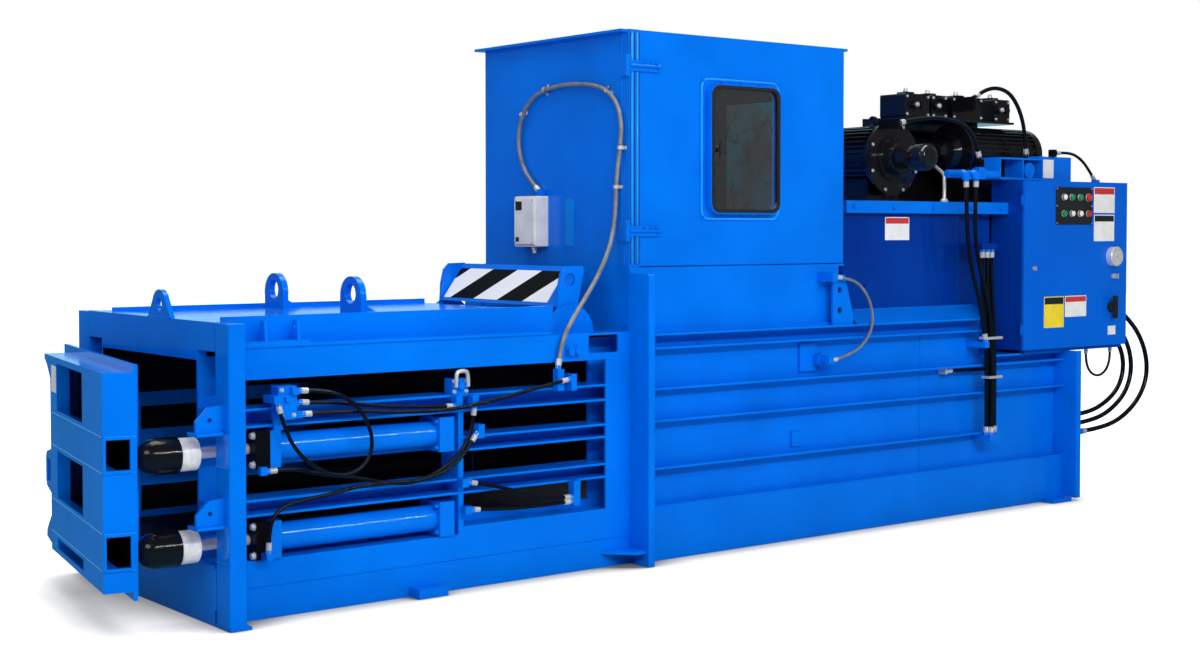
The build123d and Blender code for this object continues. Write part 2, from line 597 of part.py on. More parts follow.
def make_hopper():
    x = HOPPER_X
    z = HOPPER_Z
    t = HOPPER_T
    far_y = far(HOPPER_IN)
    shell = block((x[0], x[0] + t), (near(HOPPER_IN), far_y), z)
    shell += block((x[1] - t, x[1]), (near(HOPPER_IN), far_y), z)
    shell += block(x, (far_y - t, far_y), z)
    shell += block((x[0], x[0] + CORNER_POST), (near(HOPPER_IN) - 12, near(HOPPER_IN)), z)
    shell += block((x[1] - 40, x[1]), (near(HOPPER_IN), near(HOPPER_IN) + t), z)
    for offset in (18.0, 42.0):
        shell += rod((x[0] + offset, near(HOPPER_IN) - 12, z[0]), (x[0] + offset, near(HOPPER_IN) - 12, z[1]), 3)
    lip = (z[1] - HOPPER_LIP_T, z[1])
    shell += block((x[0] - HOPPER_LIP, x[0]), (near(HOPPER_IN), far_y + HOPPER_LIP), lip)
    shell += block((x[1], x[1] + HOPPER_LIP), (near(HOPPER_IN), far_y + HOPPER_LIP), lip)
    shell += block(x, (far_y, far_y + HOPPER_LIP), lip)
    shell += block(x, (near(HOPPER_IN), near(HOPPER_IN) + 30), (z[1] - 6, z[1]))
    hole = window_ring(-t, WINDOW_CORNER - t)
    shell -= sheet_xz(hole, far_y - 3 * t, 6 * t)
    shell += other_side(window_collar(-far_y) + window_gasket(-far_y))
    for pin_z in DOOR_HINGE_ZS:
        for low in (pin_z - 45, pin_z + 25):
            eye = Pos(DOOR_PIN_X, near(DOOR_PIN_IN)) * Circle(12) + Pos(x[0] - 3, near(190)) * Rectangle(6, 76)
            eye -= Pos(DOOR_PIN_X, near(DOOR_PIN_IN)) * Circle(DOOR_PIN_R)
            shell += sheet_xy(eye, low, 20)
        shell += rod((DOOR_PIN_X, near(DOOR_PIN_IN), pin_z - 45), (DOOR_PIN_X, near(DOOR_PIN_IN), pin_z + 45), DOOR_PIN_R)
        shell += block((x[0] - 6, x[0]), (near(164), near(228)), (pin_z - 45, pin_z + 45))
    return shell


def make_hopper_door():
    left = HOPPER_X[0] + CORNER_POST + 1
    outer = near(HOPPER_IN) - 12
    panel = block((left, HOPPER_X[1]), (outer, outer + 11.5), (HOPPER_Z[0] + 5, HOPPER_Z[1] - 1))
    panel -= sheet_xz(window_ring(-HOPPER_T, WINDOW_CORNER - HOPPER_T), outer - 5, 30)
    panel += window_collar(outer)
    for pin_z in DOOR_HINGE_ZS:
        strap = Pos(DOOR_PIN_X, near(DOOR_PIN_IN)) * Circle(12)
        tip = DOOR_PIN_X + DOOR_STRAP_LENGTH
        strap += Pos((DOOR_PIN_X + tip) / 2, outer - 8) * Rectangle(DOOR_STRAP_LENGTH, 8)
        strap += Pos((left + tip) / 2, outer - 2) * Rectangle(tip - left, 5)
        strap -= Pos(DOOR_PIN_X, near(DOOR_PIN_IN)) * Circle(DOOR_PIN_R + RUNNING_FIT)
        panel += sheet_xy(strap, pin_z - 24, 48)
    return panel


def make_window_latch():
    y = near(HOPPER_IN) - 12 - WINDOW_COLLAR
    x = WINDOW_X[0] + LATCH_INSET
    z = (WINDOW_Z[0] + WINDOW_Z[1]) / 2
    latch = rod((x, y + 6, z), (x, y - 16, z), 14)
    half = LATCH_LENGTH / 2
    return latch + block((x - 9, x + 9), (y - 28, y - 16), (z - half, z + half))


# Discharge door, drawn shut and turned open at the end
def make_discharge_door():
    back = HINGE_X - HINGE_STANDOFF
    plate = back - DOOR_PLATE_T
    outer = back - DOOR_DEPTH
    skin_t = DOOR_SKIN_T
    y = (near(DOOR_NEAR_IN), far(DOOR_BOX_FAR_IN))
    lip_end = far(DOOR_LIP_FAR_IN)
    z = DOOR_FRAME_Z
    door = block((plate, back), (y[0], far(DOOR_FAR_IN)), DOOR_Z)
    skin = block((outer, outer + skin_t), y, z)
    for window in DOOR_SLOT_ZS:
        skin -= block((outer - 1, outer + skin_t + 1), DOOR_SLOT_Y, window)
    door += skin
    door += block((outer, plate), y, (z[0], z[0] + skin_t))
    door += block((outer, plate), (y[0], lip_end), (z[1] - skin_t, z[1]))
    for end in (y[0], y[1] - skin_t):
        door += block((outer, plate), (end, end + skin_t), z)
    for end in (DOOR_SLOT_Y[0] - skin_t, DOOR_SLOT_Y[1]):
        door += block((outer, outer + DOOR_RIM_DEPTH), (end, end + skin_t), z)
    wall = DOOR_TUBE_WALL
    for low, high in DOOR_TUBE_ZS:
        door += block((outer, plate), (y[0] - DOOR_TUBE_PROUD, y[1]), (low, high))
        hollow = (outer + wall, plate - wall)
        door -= block(hollow, (y[0] - DOOR_TUBE_PROUD - 1, y[1] - wall), (low + wall, high - wall))
    door += block((back, back + 40), (near(290), far(287)), (CHAMBER_FLOOR_Z, 990))
    for middle in HINGE_ZS:
        knuckle = Pos(HINGE_X, far(HINGE_IN)) * Circle(HINGE_EYE_R)
        knuckle += Pos((back + HINGE_X) / 2, far(HINGE_IN)) * Rectangle(HINGE_STANDOFF, 2 * HINGE_EYE_R)
        knuckle -= Pos(HINGE_X, far(HINGE_IN)) * Circle(HINGE_PIN_R + RUNNING_FIT)
        height = HINGE_KNUCKLE_H - 2 * PAINT_GAP
        door += sheet_xy(knuckle, middle - height / 2, height)
    edge = y[1]
    shoulder = edge + DOOR_EAR_REACH - DOOR_EAR_CORNER
    tip = edge + DOOR_EAR_REACH
    handle = outline((edge, 585), (shoulder, 565), (tip, 545), (tip, 440), (shoulder, 420), (edge, 400))
    handle -= Pos((edge + shoulder) / 2, 492) * RectangleRounded(shoulder - edge - 20, 92, 10)
    lip_web = outline((edge, z[1]), (lip_end, z[1]), (lip_end, z[1] - 18), (lip_end - 50, z[1] - 40), (edge, z[1] - 95))
    foot = outline((edge, 308), (tip - 50, 262), (tip - 10, 228), (tip - 10, 205), (edge, 190))
    for shape in (handle, lip_web, foot):
        door += sheet_yz(shape, outer, 16)
    turn = Pos(HINGE_X, far(HINGE_IN), 0) * Rot(0, 0, -DOOR_OPEN) * Pos(-HINGE_X, -far(HINGE_IN), 0)
    return turn * door


def make_hinge_pins():
    reach = HINGE_KNUCKLE_H / 2 + HINGE_EAR_T
    pins = None
    for z in HINGE_ZS:
        pin = rod((HINGE_X, far(HINGE_IN), z - reach), (HINGE_X, far(HINGE_IN), z + reach), HINGE_PIN_R)
        pin += rod((HINGE_X, far(HINGE_IN), z + reach), (HINGE_X, far(HINGE_IN), z + reach + 6), HINGE_PIN_R + 6)
        pins = pin if pins is None else pins + pin
    return pins


# Door cylinders, their rods and the domed couplings that push the door
def dome_centre_x():
    """X of the dome's centre that puts its face DOME_GAP off the back of the open door."""
    angle = math.radians(DOOR_OPEN)
    gap = COUPLING_R + DOME_GAP - HINGE_STANDOFF
    arm = WIDTH - HINGE_IN - CYL_IN
    return HINGE_X + (gap - arm * math.sin(angle)) / math.cos(angle)


def make_coupling(z):
    centre = dome_centre_x()
    diagonal = COUPLING_R * math.sqrt(0.5)
    dome = ThreePointArc((centre - COUPLING_R, 0), (centre - diagonal, diagonal), (centre, COUPLING_R))
    socket = COUPLING_REAR_X - 30
    body = Polyline(
        (centre, COUPLING_R), (COUPLING_REAR_X, COUPLING_R), (COUPLING_REAR_X, BAND_R), (BAND_REAR_X, BAND_R),
        (BAND_REAR_X, ROD_R), (socket, ROD_R), (socket, 0), (centre - COUPLING_R, 0),
    )
    return Pos(0, near(CYL_IN), z) * revolve(make_face(dome + body), Axis.X)


def make_door_rod(z):
    y = near(CYL_IN)
    bar = rod((COUPLING_REAR_X - 30, y, z), (PISTON_X[1] + 12, y, z), ROD_R)
    return bar + rod((PISTON_X[0], y, z), (PISTON_X[1], y, z), BORE_R - 0.3)


def make_door_cylinder(z):
    y = near(CYL_IN)
    half = GLAND_HEIGHT / 2
    flange = (near(RAIL_FACE_IN - 15), near(LINER_IN))
    plate = (near(RAIL_FACE_IN - 14), near(LINER_IN - 1))
    body = block(GLAND_X, plate, (z - half, z + half))
    body += block(FLANGE_X, flange, (z - half, z + half))
    body += rod((FLANGE_X[1], y, z), (HEAD_X[0], y, z), BARREL_R)
    body += Pos(0, y, 0) * block(HEAD_X, (-HEAD_SIDE / 2, HEAD_SIDE / 2), (z - HEAD_SIDE / 2, z + HEAD_SIDE / 2))
    body += rod((HEAD_X[1], y, z), (ANCHOR_X[0], y, z), 30)
    for dy in (-54.0, 54.0):
        for dz in (-54.0, 54.0):
            body += rod((HEAD_X[0] - 14, y + dy, z + dz), (HEAD_X[0], y + dy, z + dz), 9)
    body -= rod((FLANGE_X[1], y, z), (HEAD_X[0], y, z), BORE_R)
    return body - rod((GLAND_X[0] - 1, y, z), (FLANGE_X[1] + 1, y, z), ROD_R + RUNNING_FIT)


# Ram with its rod, and the main cylinder that drives it
def make_ram():
    inside = LINER_IN + LINER_T + RAM_CLEAR
    y = (near(inside), far(inside))
    z = (CHAMBER_FLOOR_Z + RAM_CLEAR, CHAMBER_CEILING_Z - 5)
    ram = block(RAM_X, y, z)
    skin = RAM_SKIN
    hollow = (RAM_X[0] + RAM_FACE_T, RAM_X[1] + 1)
    ram -= block(hollow, (y[0] + skin, y[1] - skin), (z[0] + skin, z[1] - skin))
    for low, high in TIE_SLOTS:
        middle = (low + high) / 2
        ram -= block((RAM_X[0] - 1, RAM_X[0] + 20), (y[0] - 1, y[1] + 1), (middle - 12, middle + 12))
    return ram


def make_ram_rod():
    z = MAIN_AXIS_Z
    bar = rod((RAM_X[0] + RAM_FACE_T, 0, z), (MAIN_PISTON_X[1], 0, z), MAIN_ROD_R)
    return bar + rod((MAIN_PISTON_X[0], 0, z), (MAIN_PISTON_X[1], 0, z), MAIN_BORE_R - 0.3)


def make_main_cylinder():
    z = MAIN_AXIS_Z
    inside = LINER_IN + LINER_T
    body = rod((MAIN_X[0], 0, z), (MAIN_X[1], 0, z), MAIN_R)
    body += block((4480, 4510), (near(inside), far(inside)), (CHAMBER_FLOOR_Z, PRESS_REAR_Z))
    body += rod((MAIN_X[0], 0, z), (MAIN_X[0] + MAIN_HEAD_T, 0, z), MAIN_R + 18)
    body -= rod((MAIN_X[0] + MAIN_HEAD_T, 0, z), (MAIN_X[1] - MAIN_HEAD_T, 0, z), MAIN_BORE_R)
    return body - rod((MAIN_X[0] - 1, 0, z), (MAIN_X[0] + MAIN_HEAD_T + 1, 0, z), MAIN_ROD_R + RUNNING_FIT)


def make_bulkhead():
    plate = (near(PRESS_WALL_IN), far(PRESS_WALL_IN))
    head = block((REAR_POST_X, REAR_POST_X + BULKHEAD_T), plate, (PRESS_BASE_Z, PRESS_REAR_Z))
    for y in (-300.0, 300.0):
        head += block((REAR_POST_X + BULKHEAD_T, REAR_POST_X + BULKHEAD_T + 40), (y - 8, y + 8), (PRESS_BASE_Z, PRESS_REAR_Z))
    return head


# Safety flap and its fixed brackets
def make_flap():
    x = FLAP_HINGE_X
    z = FLAP_HINGE_Z
    eye = Pos(x, z) * Circle(FLAP_EYE_R)
    arm = eye + outline(
        (x - 30, z + 4), (1700, 1150), (1706, 1240), (1722, 1306), (1752, 1335), (1842, 1337), (1850, 1316), (x + 30, z + 4),
    )
    arm -= Pos(x, z) * Circle(FLAP_PIN_R + RUNNING_FIT)
    side = sheet_xz(arm, near(FLAP_ARM_IN), FLAP_ARM_T)
    hole = rod((1770, near(FLAP_ARM_IN) - 1, 1276), (1770, near(FLAP_ARM_IN + FLAP_ARM_T) + 1, 1276), 30)
    blade = outline((1702, 1158), (1830, 1333), (1842, 1333), (1714, 1158))
    span = WIDTH - 2 * (FLAP_ARM_IN + FLAP_ARM_T)
    panel = sheet_xz(blade, near(FLAP_ARM_IN + FLAP_ARM_T), span)
    return (side - hole) + other_side(side) + panel


def make_flap_bracket():
    x = FLAP_HINGE_X
    z = FLAP_HINGE_Z
    foot = TOP_BEAM_Z[1] - 3
    dome = Pos(x, foot) * (Circle(FLAP_BRACKET_R) & Pos(0, FLAP_BRACKET_R) * Rectangle(2 * FLAP_BRACKET_R, 2 * FLAP_BRACKET_R))
    bracket = sheet_xz(dome, near(FLAP_BRACKET_IN), FLAP_BRACKET_T)
    end = near(FLAP_ARM_IN + FLAP_ARM_T)
    bracket += rod((x, near(FLAP_BRACKET_IN), z), (x, end, z), FLAP_PIN_R)
    return bracket + rod((x, near(FLAP_BRACKET_IN) - 8, z), (x, near(FLAP_BRACKET_IN), z), FLAP_PIN_R + 8)


# Oil tank and deck
def make_tank():
    y = (near(TANK_IN), far(TANK_IN))
    tank = block(TANK_X, y, (SKIRT_TOP_Z, TANK_TOP_Z))
    tank = fillet(tank.edges().filter_by(Axis.Z), 14)
    inner = (near(TANK_IN + TANK_SETBACK), far(TANK_IN + TANK_SETBACK))
    end = DECK_END_X - DECK_LEG - PAINT_GAP
    tank += block((TANK_X[1] - 20, end), inner, (SKIRT_TOP_Z, TANK_TOP_Z))
    tank += block((PRESS_STEP_X + 10, end), inner, (PRESS_REAR_Z + DECK_T, SKIRT_TOP_Z))
    tank += rod((3600, near(TANK_IN), 1200), (3600, near(TANK_IN) - 14, 1200), 22)
    return tank + rod((3700, near(260), TANK_TOP_Z), (3700, near(260), TANK_TOP_Z + 40), 40)


def make_deck():
    rear = 5240.0
    y = (near(DECK_IN), far(DECK_IN))
    x = (TANK_X[0] - 10, DECK_END_X)
    behind = near(BOX_BACK_IN + 20)
    deck = block(x, y, (DECK_Z - DECK_T, DECK_Z))
    deck += block((x[1], rear), (behind, y[1]), (DECK_Z - DECK_T, DECK_Z))
    for edge in ((y[0], y[0] + 8), (y[1] - 8, y[1])):
        deck += block(x, edge, (TANK_TOP_Z, DECK_Z))
    deck += block((x[1] - 8, x[1]), y, (TANK_TOP_Z, DECK_Z))
    for start in (3440.0, 3840.0, 4240.0):
        deck += block((start, start + 60), y, (TANK_TOP_Z, DECK_Z - DECK_T))
    for start in (DECK_END_X - DECK_LEG, REAR_POST_X - DECK_LEG):
        for leg in ((behind, behind + DECK_LEG), (y[1] - DECK_LEG, y[1])):
            deck += block((start, start + DECK_LEG), leg, (PRESS_REAR_Z + DECK_T, DECK_Z - DECK_T))
    return deck


# Motors and pumps
def finned_motor(radius, length, fins, foot):
    """Motor drawn with its shaft face at the origin and its body along +X, standing on a foot."""
    core = radius * 0.8
    flange = Polyline((0, 0), (0, radius), (18, radius), (18, core + 6), (60, core + 6), (60, core), (60, 0), close=True)
    body = revolve(make_face(flange), Axis.X)
    body += rod((60, 0, 0), (length - 70, 0, 0), core)
    cowl = Polyline(
        (length - 70, 0), (length - 70, radius * 0.9), (length - 25, radius * 0.9), (length, radius * 0.75), (length, 0), close=True,
    )
    body += revolve(make_face(cowl), Axis.X)
    blade = block((62, length - 69), (-3, 3), (core - 3, radius * 0.9))
    for step in range(fins):
        body += Rot(step * 360 / fins, 0, 0) * blade
    body += block((70, length - 80), (-radius * 0.6, radius * 0.6), (12 - foot, -core * 0.6))
    return body + block((50, length - 60), (-radius * 0.75, radius * 0.75), (-foot, 12 - foot))


def make_main_motor():
    motor = finned_motor(MOTOR_R, MOTOR_LENGTH, 36, MOTOR_AXIS_Z - DECK_Z)
    for step in range(8):
        angle = math.radians(22.5 + step * 45)
        y = 175 * math.cos(angle)
        z = 175 * math.sin(angle)
        motor += rod((-8, y, z), (0, y, z), 9)
    loop = Pos(MOTOR_R * 0.9 + 22, 0) * (Circle(30) - Circle(19))
    eye = Plane.XZ * Pos(0, 0) * loop
    motor += Rot(0, -90, 0) * Pos(0, 0, -140) * extrude(eye, 7, both=True)
    motor += rod((140, 0, MOTOR_R * 0.75), (140, 0, MOTOR_R * 0.9 + 4), 14)
    return Pos(MOTOR_X, near(MOTOR_FACE_IN), MOTOR_AXIS_Z) * Rot(0, 0, 90) * motor


def make_main_pump():
    profile = Polyline(
        (0, 0), (0, 118), (14, 118), (14, 92), (70, 84), (70, 58), (180, 58), (180, 70), (236, 70), (236, 64), (250, 60), (250, 0),
        close=True,
    )
    pump = revolve(make_face(profile), Axis.X)
    for step in range(12):
        angle = math.radians(15 + step * 30)
        y = 105 * math.cos(angle)
        z = 105 * math.sin(angle)
        pump += rod((14, y, z), (22, y, z), 6)
    pump += block((100, 160), (-100, -40), (-26, 26))
    return Pos(MOTOR_X, near(MOTOR_FACE_IN), MOTOR_AXIS_Z) * Rot(0, 0, -90) * pump


def make_aux_motor():
    motor = finned_motor(AUX_R, AUX_LENGTH, 32, AUX_Z - DECK_Z)
    return Pos(AUX_X, near(AUX_IN), AUX_Z) * motor


def make_aux_pump():
    profile = Polyline(
        (0, 0), (0, 96), (14, 96), (40, 66), (120, 66), (120, 52), (190, 52), (190, 60), (222, 60), (222, 0), close=True,
    )
    pump = Rot(0, 180, 0) * revolve(make_face(profile), Axis.X)
    pump += block((-180, -130), (-90, 0), (-24, 24))
    return Pos(AUX_X, near(AUX_IN), AUX_Z) * pump


def make_valve_stack():
    """Black manifold blocks with solenoids, on a plate held above the second motor."""
    base_z = 2096.0
    height = 125.0
    stack = block((4080, 4975), (near(360), near(640)), (base_z - 12, base_z))
    stack += block((4060, 5000), (near(640), near(652)), (DECK_Z, base_z))
    for left, right in ((4098.0, 4290.0), (4306.0, 4432.0), (4476.0, 4726.0), (4826.0, 4960.0)):
        body = block((left, right), (near(380), near(560)), (base_z, base_z + height))
        stack += fillet(body.edges().filter_by(Axis.Y), 12)
        middle = (left + right) / 2
        stack += rod((middle - 34, near(380), base_z + 66), (middle - 34, near(354), base_z + 66), 24)
        stack += rod((middle + 34, near(380), base_z + 66), (middle + 34, near(364), base_z + 66), 18)
        stack += block((middle - 30, middle + 30), (near(430), near(500)), (base_z + height, base_z + height + 14))
    return stack


# Blue bracket and header over the control box
def make_header_elbow(x, depth, end_z):
    """Pipe elbow that leaves the header, turns down and ends in a collar round a hose sleeve."""
    path = FilletPolyline(
        (x, near(HEADER_IN), HEADER_Z), (x, near(depth), HEADER_Z), (x, near(depth), end_z), radius=ELBOW_BEND_R,
    )
    start = Plane(origin=(x, near(HEADER_IN), HEADER_Z), z_dir=(0, -1, 0))
    elbow = sweep(start * Circle(ELBOW_R), path)
    return elbow + rod((x, near(depth), end_z), (x, near(depth), end_z + ELBOW_COLLAR), ELBOW_R + 4)


def make_power_manifold():
    top = BOX_Z[1]
    y = (near(128), near(250))
    frame = block((4669, 5212), (near(150), near(190)), (top, top + 10))
    frame += block((4568, 4937), y, (1876, 1886))
    frame += block((4568, 4578), y, (1768, 1876))
    frame += block((4568, 4937), y, (1768, 1778))
    frame += block((4760, 4770), y, (1778, 1876))
    frame += block((4927, 4937), y, (1778, 1876))
    frame += block((4937, 5212), (near(150), near(162)), (top + 10, 1900))
    frame += block((4937, 5212), (near(150), near(230)), (1892, 1900))
    frame += rod((4848, near(150), 1820), (4848, near(214), 1820), 44)
    ends = [route[0] for route in HEADER_ROUTES]
    last = min(x for x, depth, z in ends)
    frame += rod((4568, near(HEADER_IN), HEADER_Z), (last - HEADER_R, near(HEADER_IN), HEADER_Z), HEADER_R)
    for x, depth, z in ends:
        frame += make_header_elbow(x, depth, z + SLEEVE_LENGTH - ELBOW_LAP)
    return frame + block((4396, 4452), (near(128), near(172)), (1766, 1826))


def make_bundle_bracket():
    """Blue bracket on the tank that three of the bundle's hoses hang from."""
    return block(BUNDLE_BRACKET_X, (near(BUNDLE_BRACKET_IN), near(TANK_IN + TANK_SETBACK)), BUNDLE_BRACKET_Z)


# Control box with its stand rails
def make_control_box():
    shell = block(BOX_X, (near(BOX_DOOR_IN + BOX_DOOR_T + 1), near(BOX_BACK_IN)), BOX_Z)
    t = BOX_T
    cavity_x = (BOX_X[0] + t, BOX_X[1] - t)
    cavity_z = (BOX_Z[0] + t, BOX_Z[1] - t)
    shell -= block(cavity_x, (near(BOX_DOOR_IN), near(BOX_BACK_IN - t)), cavity_z)
    shell += block((4760, 5500), (near(BOX_BACK_IN - t - 3), near(BOX_BACK_IN - t)), (BOX_Z[0] + 90, BOX_Z[1] - 90))
    for y in ((near(60), near(100)), (near(220), near(260))):
        shell += block((4700, 5560), y, (PRESS_REAR_Z + DECK_T, BOX_Z[0]))
    for z in BOX_HINGE_ZS:
        for low in (z - 50, z + 25):
            eye = Pos(BOX_HINGE_X, near(BOX_HINGE_IN)) * Circle(7)
            eye += Pos(BOX_HINGE_X + 2, near(BOX_HINGE_IN + 11)) * Rectangle(6, 22)
            eye += Pos((BOX_HINGE_X + BOX_X[0]) / 2, near(BOX_HINGE_IN + 20)) * Rectangle(BOX_X[0] - BOX_HINGE_X + 2, 6)
            shell += sheet_xy(eye, low, 25)
        axis = (BOX_HINGE_X, near(BOX_HINGE_IN))
        shell += rod((*axis, z - 50), (*axis, z + 50), BOX_PIN_R)
    return shell


def switch_centres():
    return [(x, z) for z in reversed(BUTTON_ZS) for x in BUTTON_XS]


def make_control_door():
    y = (near(BOX_DOOR_IN), near(BOX_DOOR_IN + BOX_DOOR_T))
    left = BOX_X[0] + 2
    door = block((left, BOX_X[1]), y, BOX_Z)
    door -= block((left + 8, BOX_X[1] - 8), (y[0] + 4, y[1] + 1), (BOX_Z[0] + 8, BOX_Z[1] - 8))
    for z in BOX_HINGE_ZS:
        eye = Pos(BOX_HINGE_X, near(BOX_HINGE_IN)) * Circle(7)
        eye += Pos((BOX_HINGE_X + left) / 2, near(BOX_HINGE_IN + 1)) * Rectangle(left - BOX_HINGE_X + 2, 8)
        eye -= Pos(BOX_HINGE_X, near(BOX_HINGE_IN)) * Circle(BOX_PIN_R + RUNNING_FIT)
        door += sheet_xy(eye, z - 24.5, 49)
    door -= block((PANEL_X[0] + 6, PANEL_X[1] - 6), (y[0] - 1, y[1] + 1), (PANEL_Z[0] + 6, PANEL_Z[1] - 6))
    for x, z, radius in ((*KEY_AT, KEY_R), (*HANDLE_AT, HANDLE_R), (*LOCK_AT, LOCK_R)):
        door -= rod((x, y[0] - 1, z), (x, y[0] + 5, z), radius + RUNNING_FIT)
    return door


def make_button_panel():
    y = near(BOX_DOOR_IN)
    width = PANEL_X[1] - PANEL_X[0]
    height = PANEL_Z[1] - PANEL_Z[0]
    middle = Pos((PANEL_X[0] + PANEL_X[1]) / 2, (PANEL_Z[0] + PANEL_Z[1]) / 2)
    plate = sheet_xz(middle * RectangleRounded(width, height, 8), y - PANEL_T, PANEL_T)
    for x, z in switch_centres():
        if (x, z) in PILOTS:
            plate += rod((x, y - PANEL_T, z), (x, y - PANEL_T - 10, z), BUTTON_CAP_R - 2)
        else:
            plate -= rod((x, y - PANEL_T - 1, z), (x, y + 1, z), BUTTON_STEM_R + RUNNING_FIT)
    return plate


def make_button(x, z, cap):
    y = near(BOX_DOOR_IN) - PANEL_T
    stem = rod((x, y + 14, z), (x, y - BUTTON_GAP, z), BUTTON_STEM_R)
    head = rod((x, y - BUTTON_GAP, z), (x, y - BUTTON_GAP - 10, z), cap)
    rim = head.edges().filter_by(GeomType.CIRCLE).sort_by(Axis.Y)[0]
    return stem + fillet(rim, 3)


def make_gauge():
    y = near(BOX_DOOR_IN)
    profile = Polyline((0, 0), (0, 55), (34, 55), (38, 51), (38, 47), (33, 47), (33, 0), close=True)
    gauge = revolve(make_face(profile), Axis.X)
    return Pos(*(GAUGE_AT[0], y, GAUGE_AT[1])) * Rot(0, 0, -90) * gauge


def make_key_switch():
    x, z = KEY_AT
    y = near(BOX_DOOR_IN)
    key = rod((x, y + 4, z), (x, y - 12, z), KEY_R)
    return key + block((x - 3, x + 3), (y - 40, y - 12), (z - 14, z + 14))


def make_disconnect():
    x, z = HANDLE_AT
    y = near(BOX_DOOR_IN)
    handle = rod((x, y + 4, z), (x, y - 26, z), HANDLE_R)
    grip = Pos(x, z) * SlotOverall(130, 26, 90)
    return handle + sheet_xz(grip, y - 44, 20)


def make_door_lock():
    x, z = LOCK_AT
    y = near(BOX_DOOR_IN)
    lock = rod((x, y + 4, z), (x, y - 10, z), LOCK_R)
    return lock + block((x - 4, x + 4), (y - 18, y - 10), (z - 12, z + 12))


def make_junction_box():
    box = block((1965, HOPPER_X[0]), (near(765), near(945)), (1416, 1657))
    box = fillet(box.edges().filter_by(Axis.X), 8)
    return box + block((1957, 1965), (near(775), near(935)), (1426, 1647))


# Manifold blocks at the door cylinders
def make_front_manifold():
    face = near(72)
    rail = near(RAIL_FACE_IN)
    manifold = block((240, 320), (face, rail), (770, 900))
    manifold = fillet(manifold.edges().filter_by(Axis.Y), 6)
    manifold += block((245, 300), (near(RAIL_FACE_IN - 15), rail), (CYL_ZS[1] + GLAND_HEIGHT / 2, 770))
    return manifold + rod((280, face, 850), (280, face - 12, 850), 14)


def make_tee_manifold():
    tee = block((1070, 1150), (near(RAIL_FACE_IN), near(190)), (RAIL_BANDS[2][1], 880))
    tee = fillet(tee.edges().filter_by(Axis.Y), 6)
    return tee + rod((1110, near(RAIL_FACE_IN), 850), (1110, near(118), 850), 16)


# Routes of the hoses, as corner points (X, depth in from the near side, Z)
def flat_route(depth, *corners):
    return tuple((x, depth, z) for x, z in corners)


FRONT_ROUTES = (
    flat_route(62, (360, 878), (435, 874), (532, 843), (613, 770), (654, 659), (621, 570), (530, 530), (420, 556),
               (320, 634), (265, 727), (244, 798)),
    flat_route(105, (386, 828), (540, 816), (700, 794), (880, 777), (1023, 772)),
    flat_route(82, (386, 786), (580, 784), (800, 763), (1010, 757), (1200, 778), (1402, 812), (1600, 846)),
    flat_route(105, (247, 574), (320, 576), (442, 542), (576, 522), (713, 486), (853, 465), (998, 510), (1106, 584),
               (1147, 664), (1157, 726)),
    flat_route(82, (202, 303), (206, 372), (248, 430), (330, 452), (463, 462), (575, 482), (690, 488), (806, 478),
               (949, 489), (1072, 537), (1136, 623)),
    flat_route(105, (1171, 441), (1298, 414), (1430, 370), (1533, 341), (1630, 338)),
    flat_route(105, (1186, 330), (1323, 318), (1480, 314), (1630, 316)),
)
POWER_ROUTES = (
    flat_route(150, (3834, 2047), (3993, 2073), (4156, 2077), (4308, 2049), (4389, 1983), (4414, 1912)),
    flat_route(262, (4550, 2227), (4608, 2257), (4714, 2273), (4820, 2246), (4899, 2161), (4944, 2052), (4957, 1945)),
    flat_route(40, (4267, 1720), (4262, 1600), (4266, 1450), (4304, 1286), (4371, 1127), (4400, 960), (4412, 790),
               (4414, 620), (4406, 455)),
    flat_route(40, (4190, 1718), (4194, 1600), (4206, 1440), (4246, 1270), (4310, 1110), (4345, 950)),
    flat_route(64, (4350, 1350), (4350, 1240), (4362, 1120), (4384, 970), (4392, 800), (4394, 620), (4394, 455)),
    flat_route(64, (4388, 1350), (4388, 1240), (4398, 1120), (4417, 970), (4424, 800), (4426, 620), (4426, 455)),
    flat_route(64, (4426, 1350), (4426, 1240), (4434, 1120), (4450, 970), (4456, 800), (4458, 620), (4458, 455)),
)
HEADER_ROUTES = (POWER_ROUTES[2], POWER_ROUTES[3])
REAR_ROUTES = (
    flat_route(150, (5673, 1033), (5799, 960), (5920, 821), (5960, 666), (5895, 528), (5741, 420), (5550, 364),
               (5360, 357)),
    flat_route(215, (5673, 985), (5780, 915), (5870, 800), (5895, 670), (5840, 545), (5700, 450), (5530, 400),
               (5360, 392)),
    flat_route(250, (5673, 937), (5775, 868), (5850, 775), (5864, 665), (5808, 560), (5680, 484), (5520, 440),
               (5360, 436)),
)
LOOP_ROUTE = flat_route(110, (5310, 802), (5310, 737), (5375, 672), (5467, 672), (5532, 737), (5532, 802))
CONDUIT_ROUTE = (
    (2012, 836, 1700), (2012, 905, 1750), (2012, 965, 1840), (2012, 984, 1945), (2012, 950, 2050), (2012, 870, 2125),
    (2012, 765, 2158), (2012, 640, 2172), (2012, 510, 2170), (2012, 390, 2158), (2012, 290, 2128), (2012, 215, 2065),
    (2012, 185, 1975), (2012, 195, 1865), (2012, 218, 1755), (2012, 226, 1650), (2012, 232, 1550), (1990, 228, 1455),
    (1930, 190, 1380), (1860, 150, 1310), (1790, 128, 1235), (1720, 118, 1155), (1660, 114, 1080), (1620, 112, 1000),
    (1607, 110, 940),
)
GAUGE_ROUTE = flat_route(150, (5108, 1923), (5200, 1928), (5290, 1900), (5360, 1850), (5402, 1806))
SENSOR_ROUTE = flat_route(60, (3290, 1263), (3385, 1250), (3464, 1189), (3508, 1109), (3516, 1024), (3466, 941),
                          (3367, 886), (3262, 866))

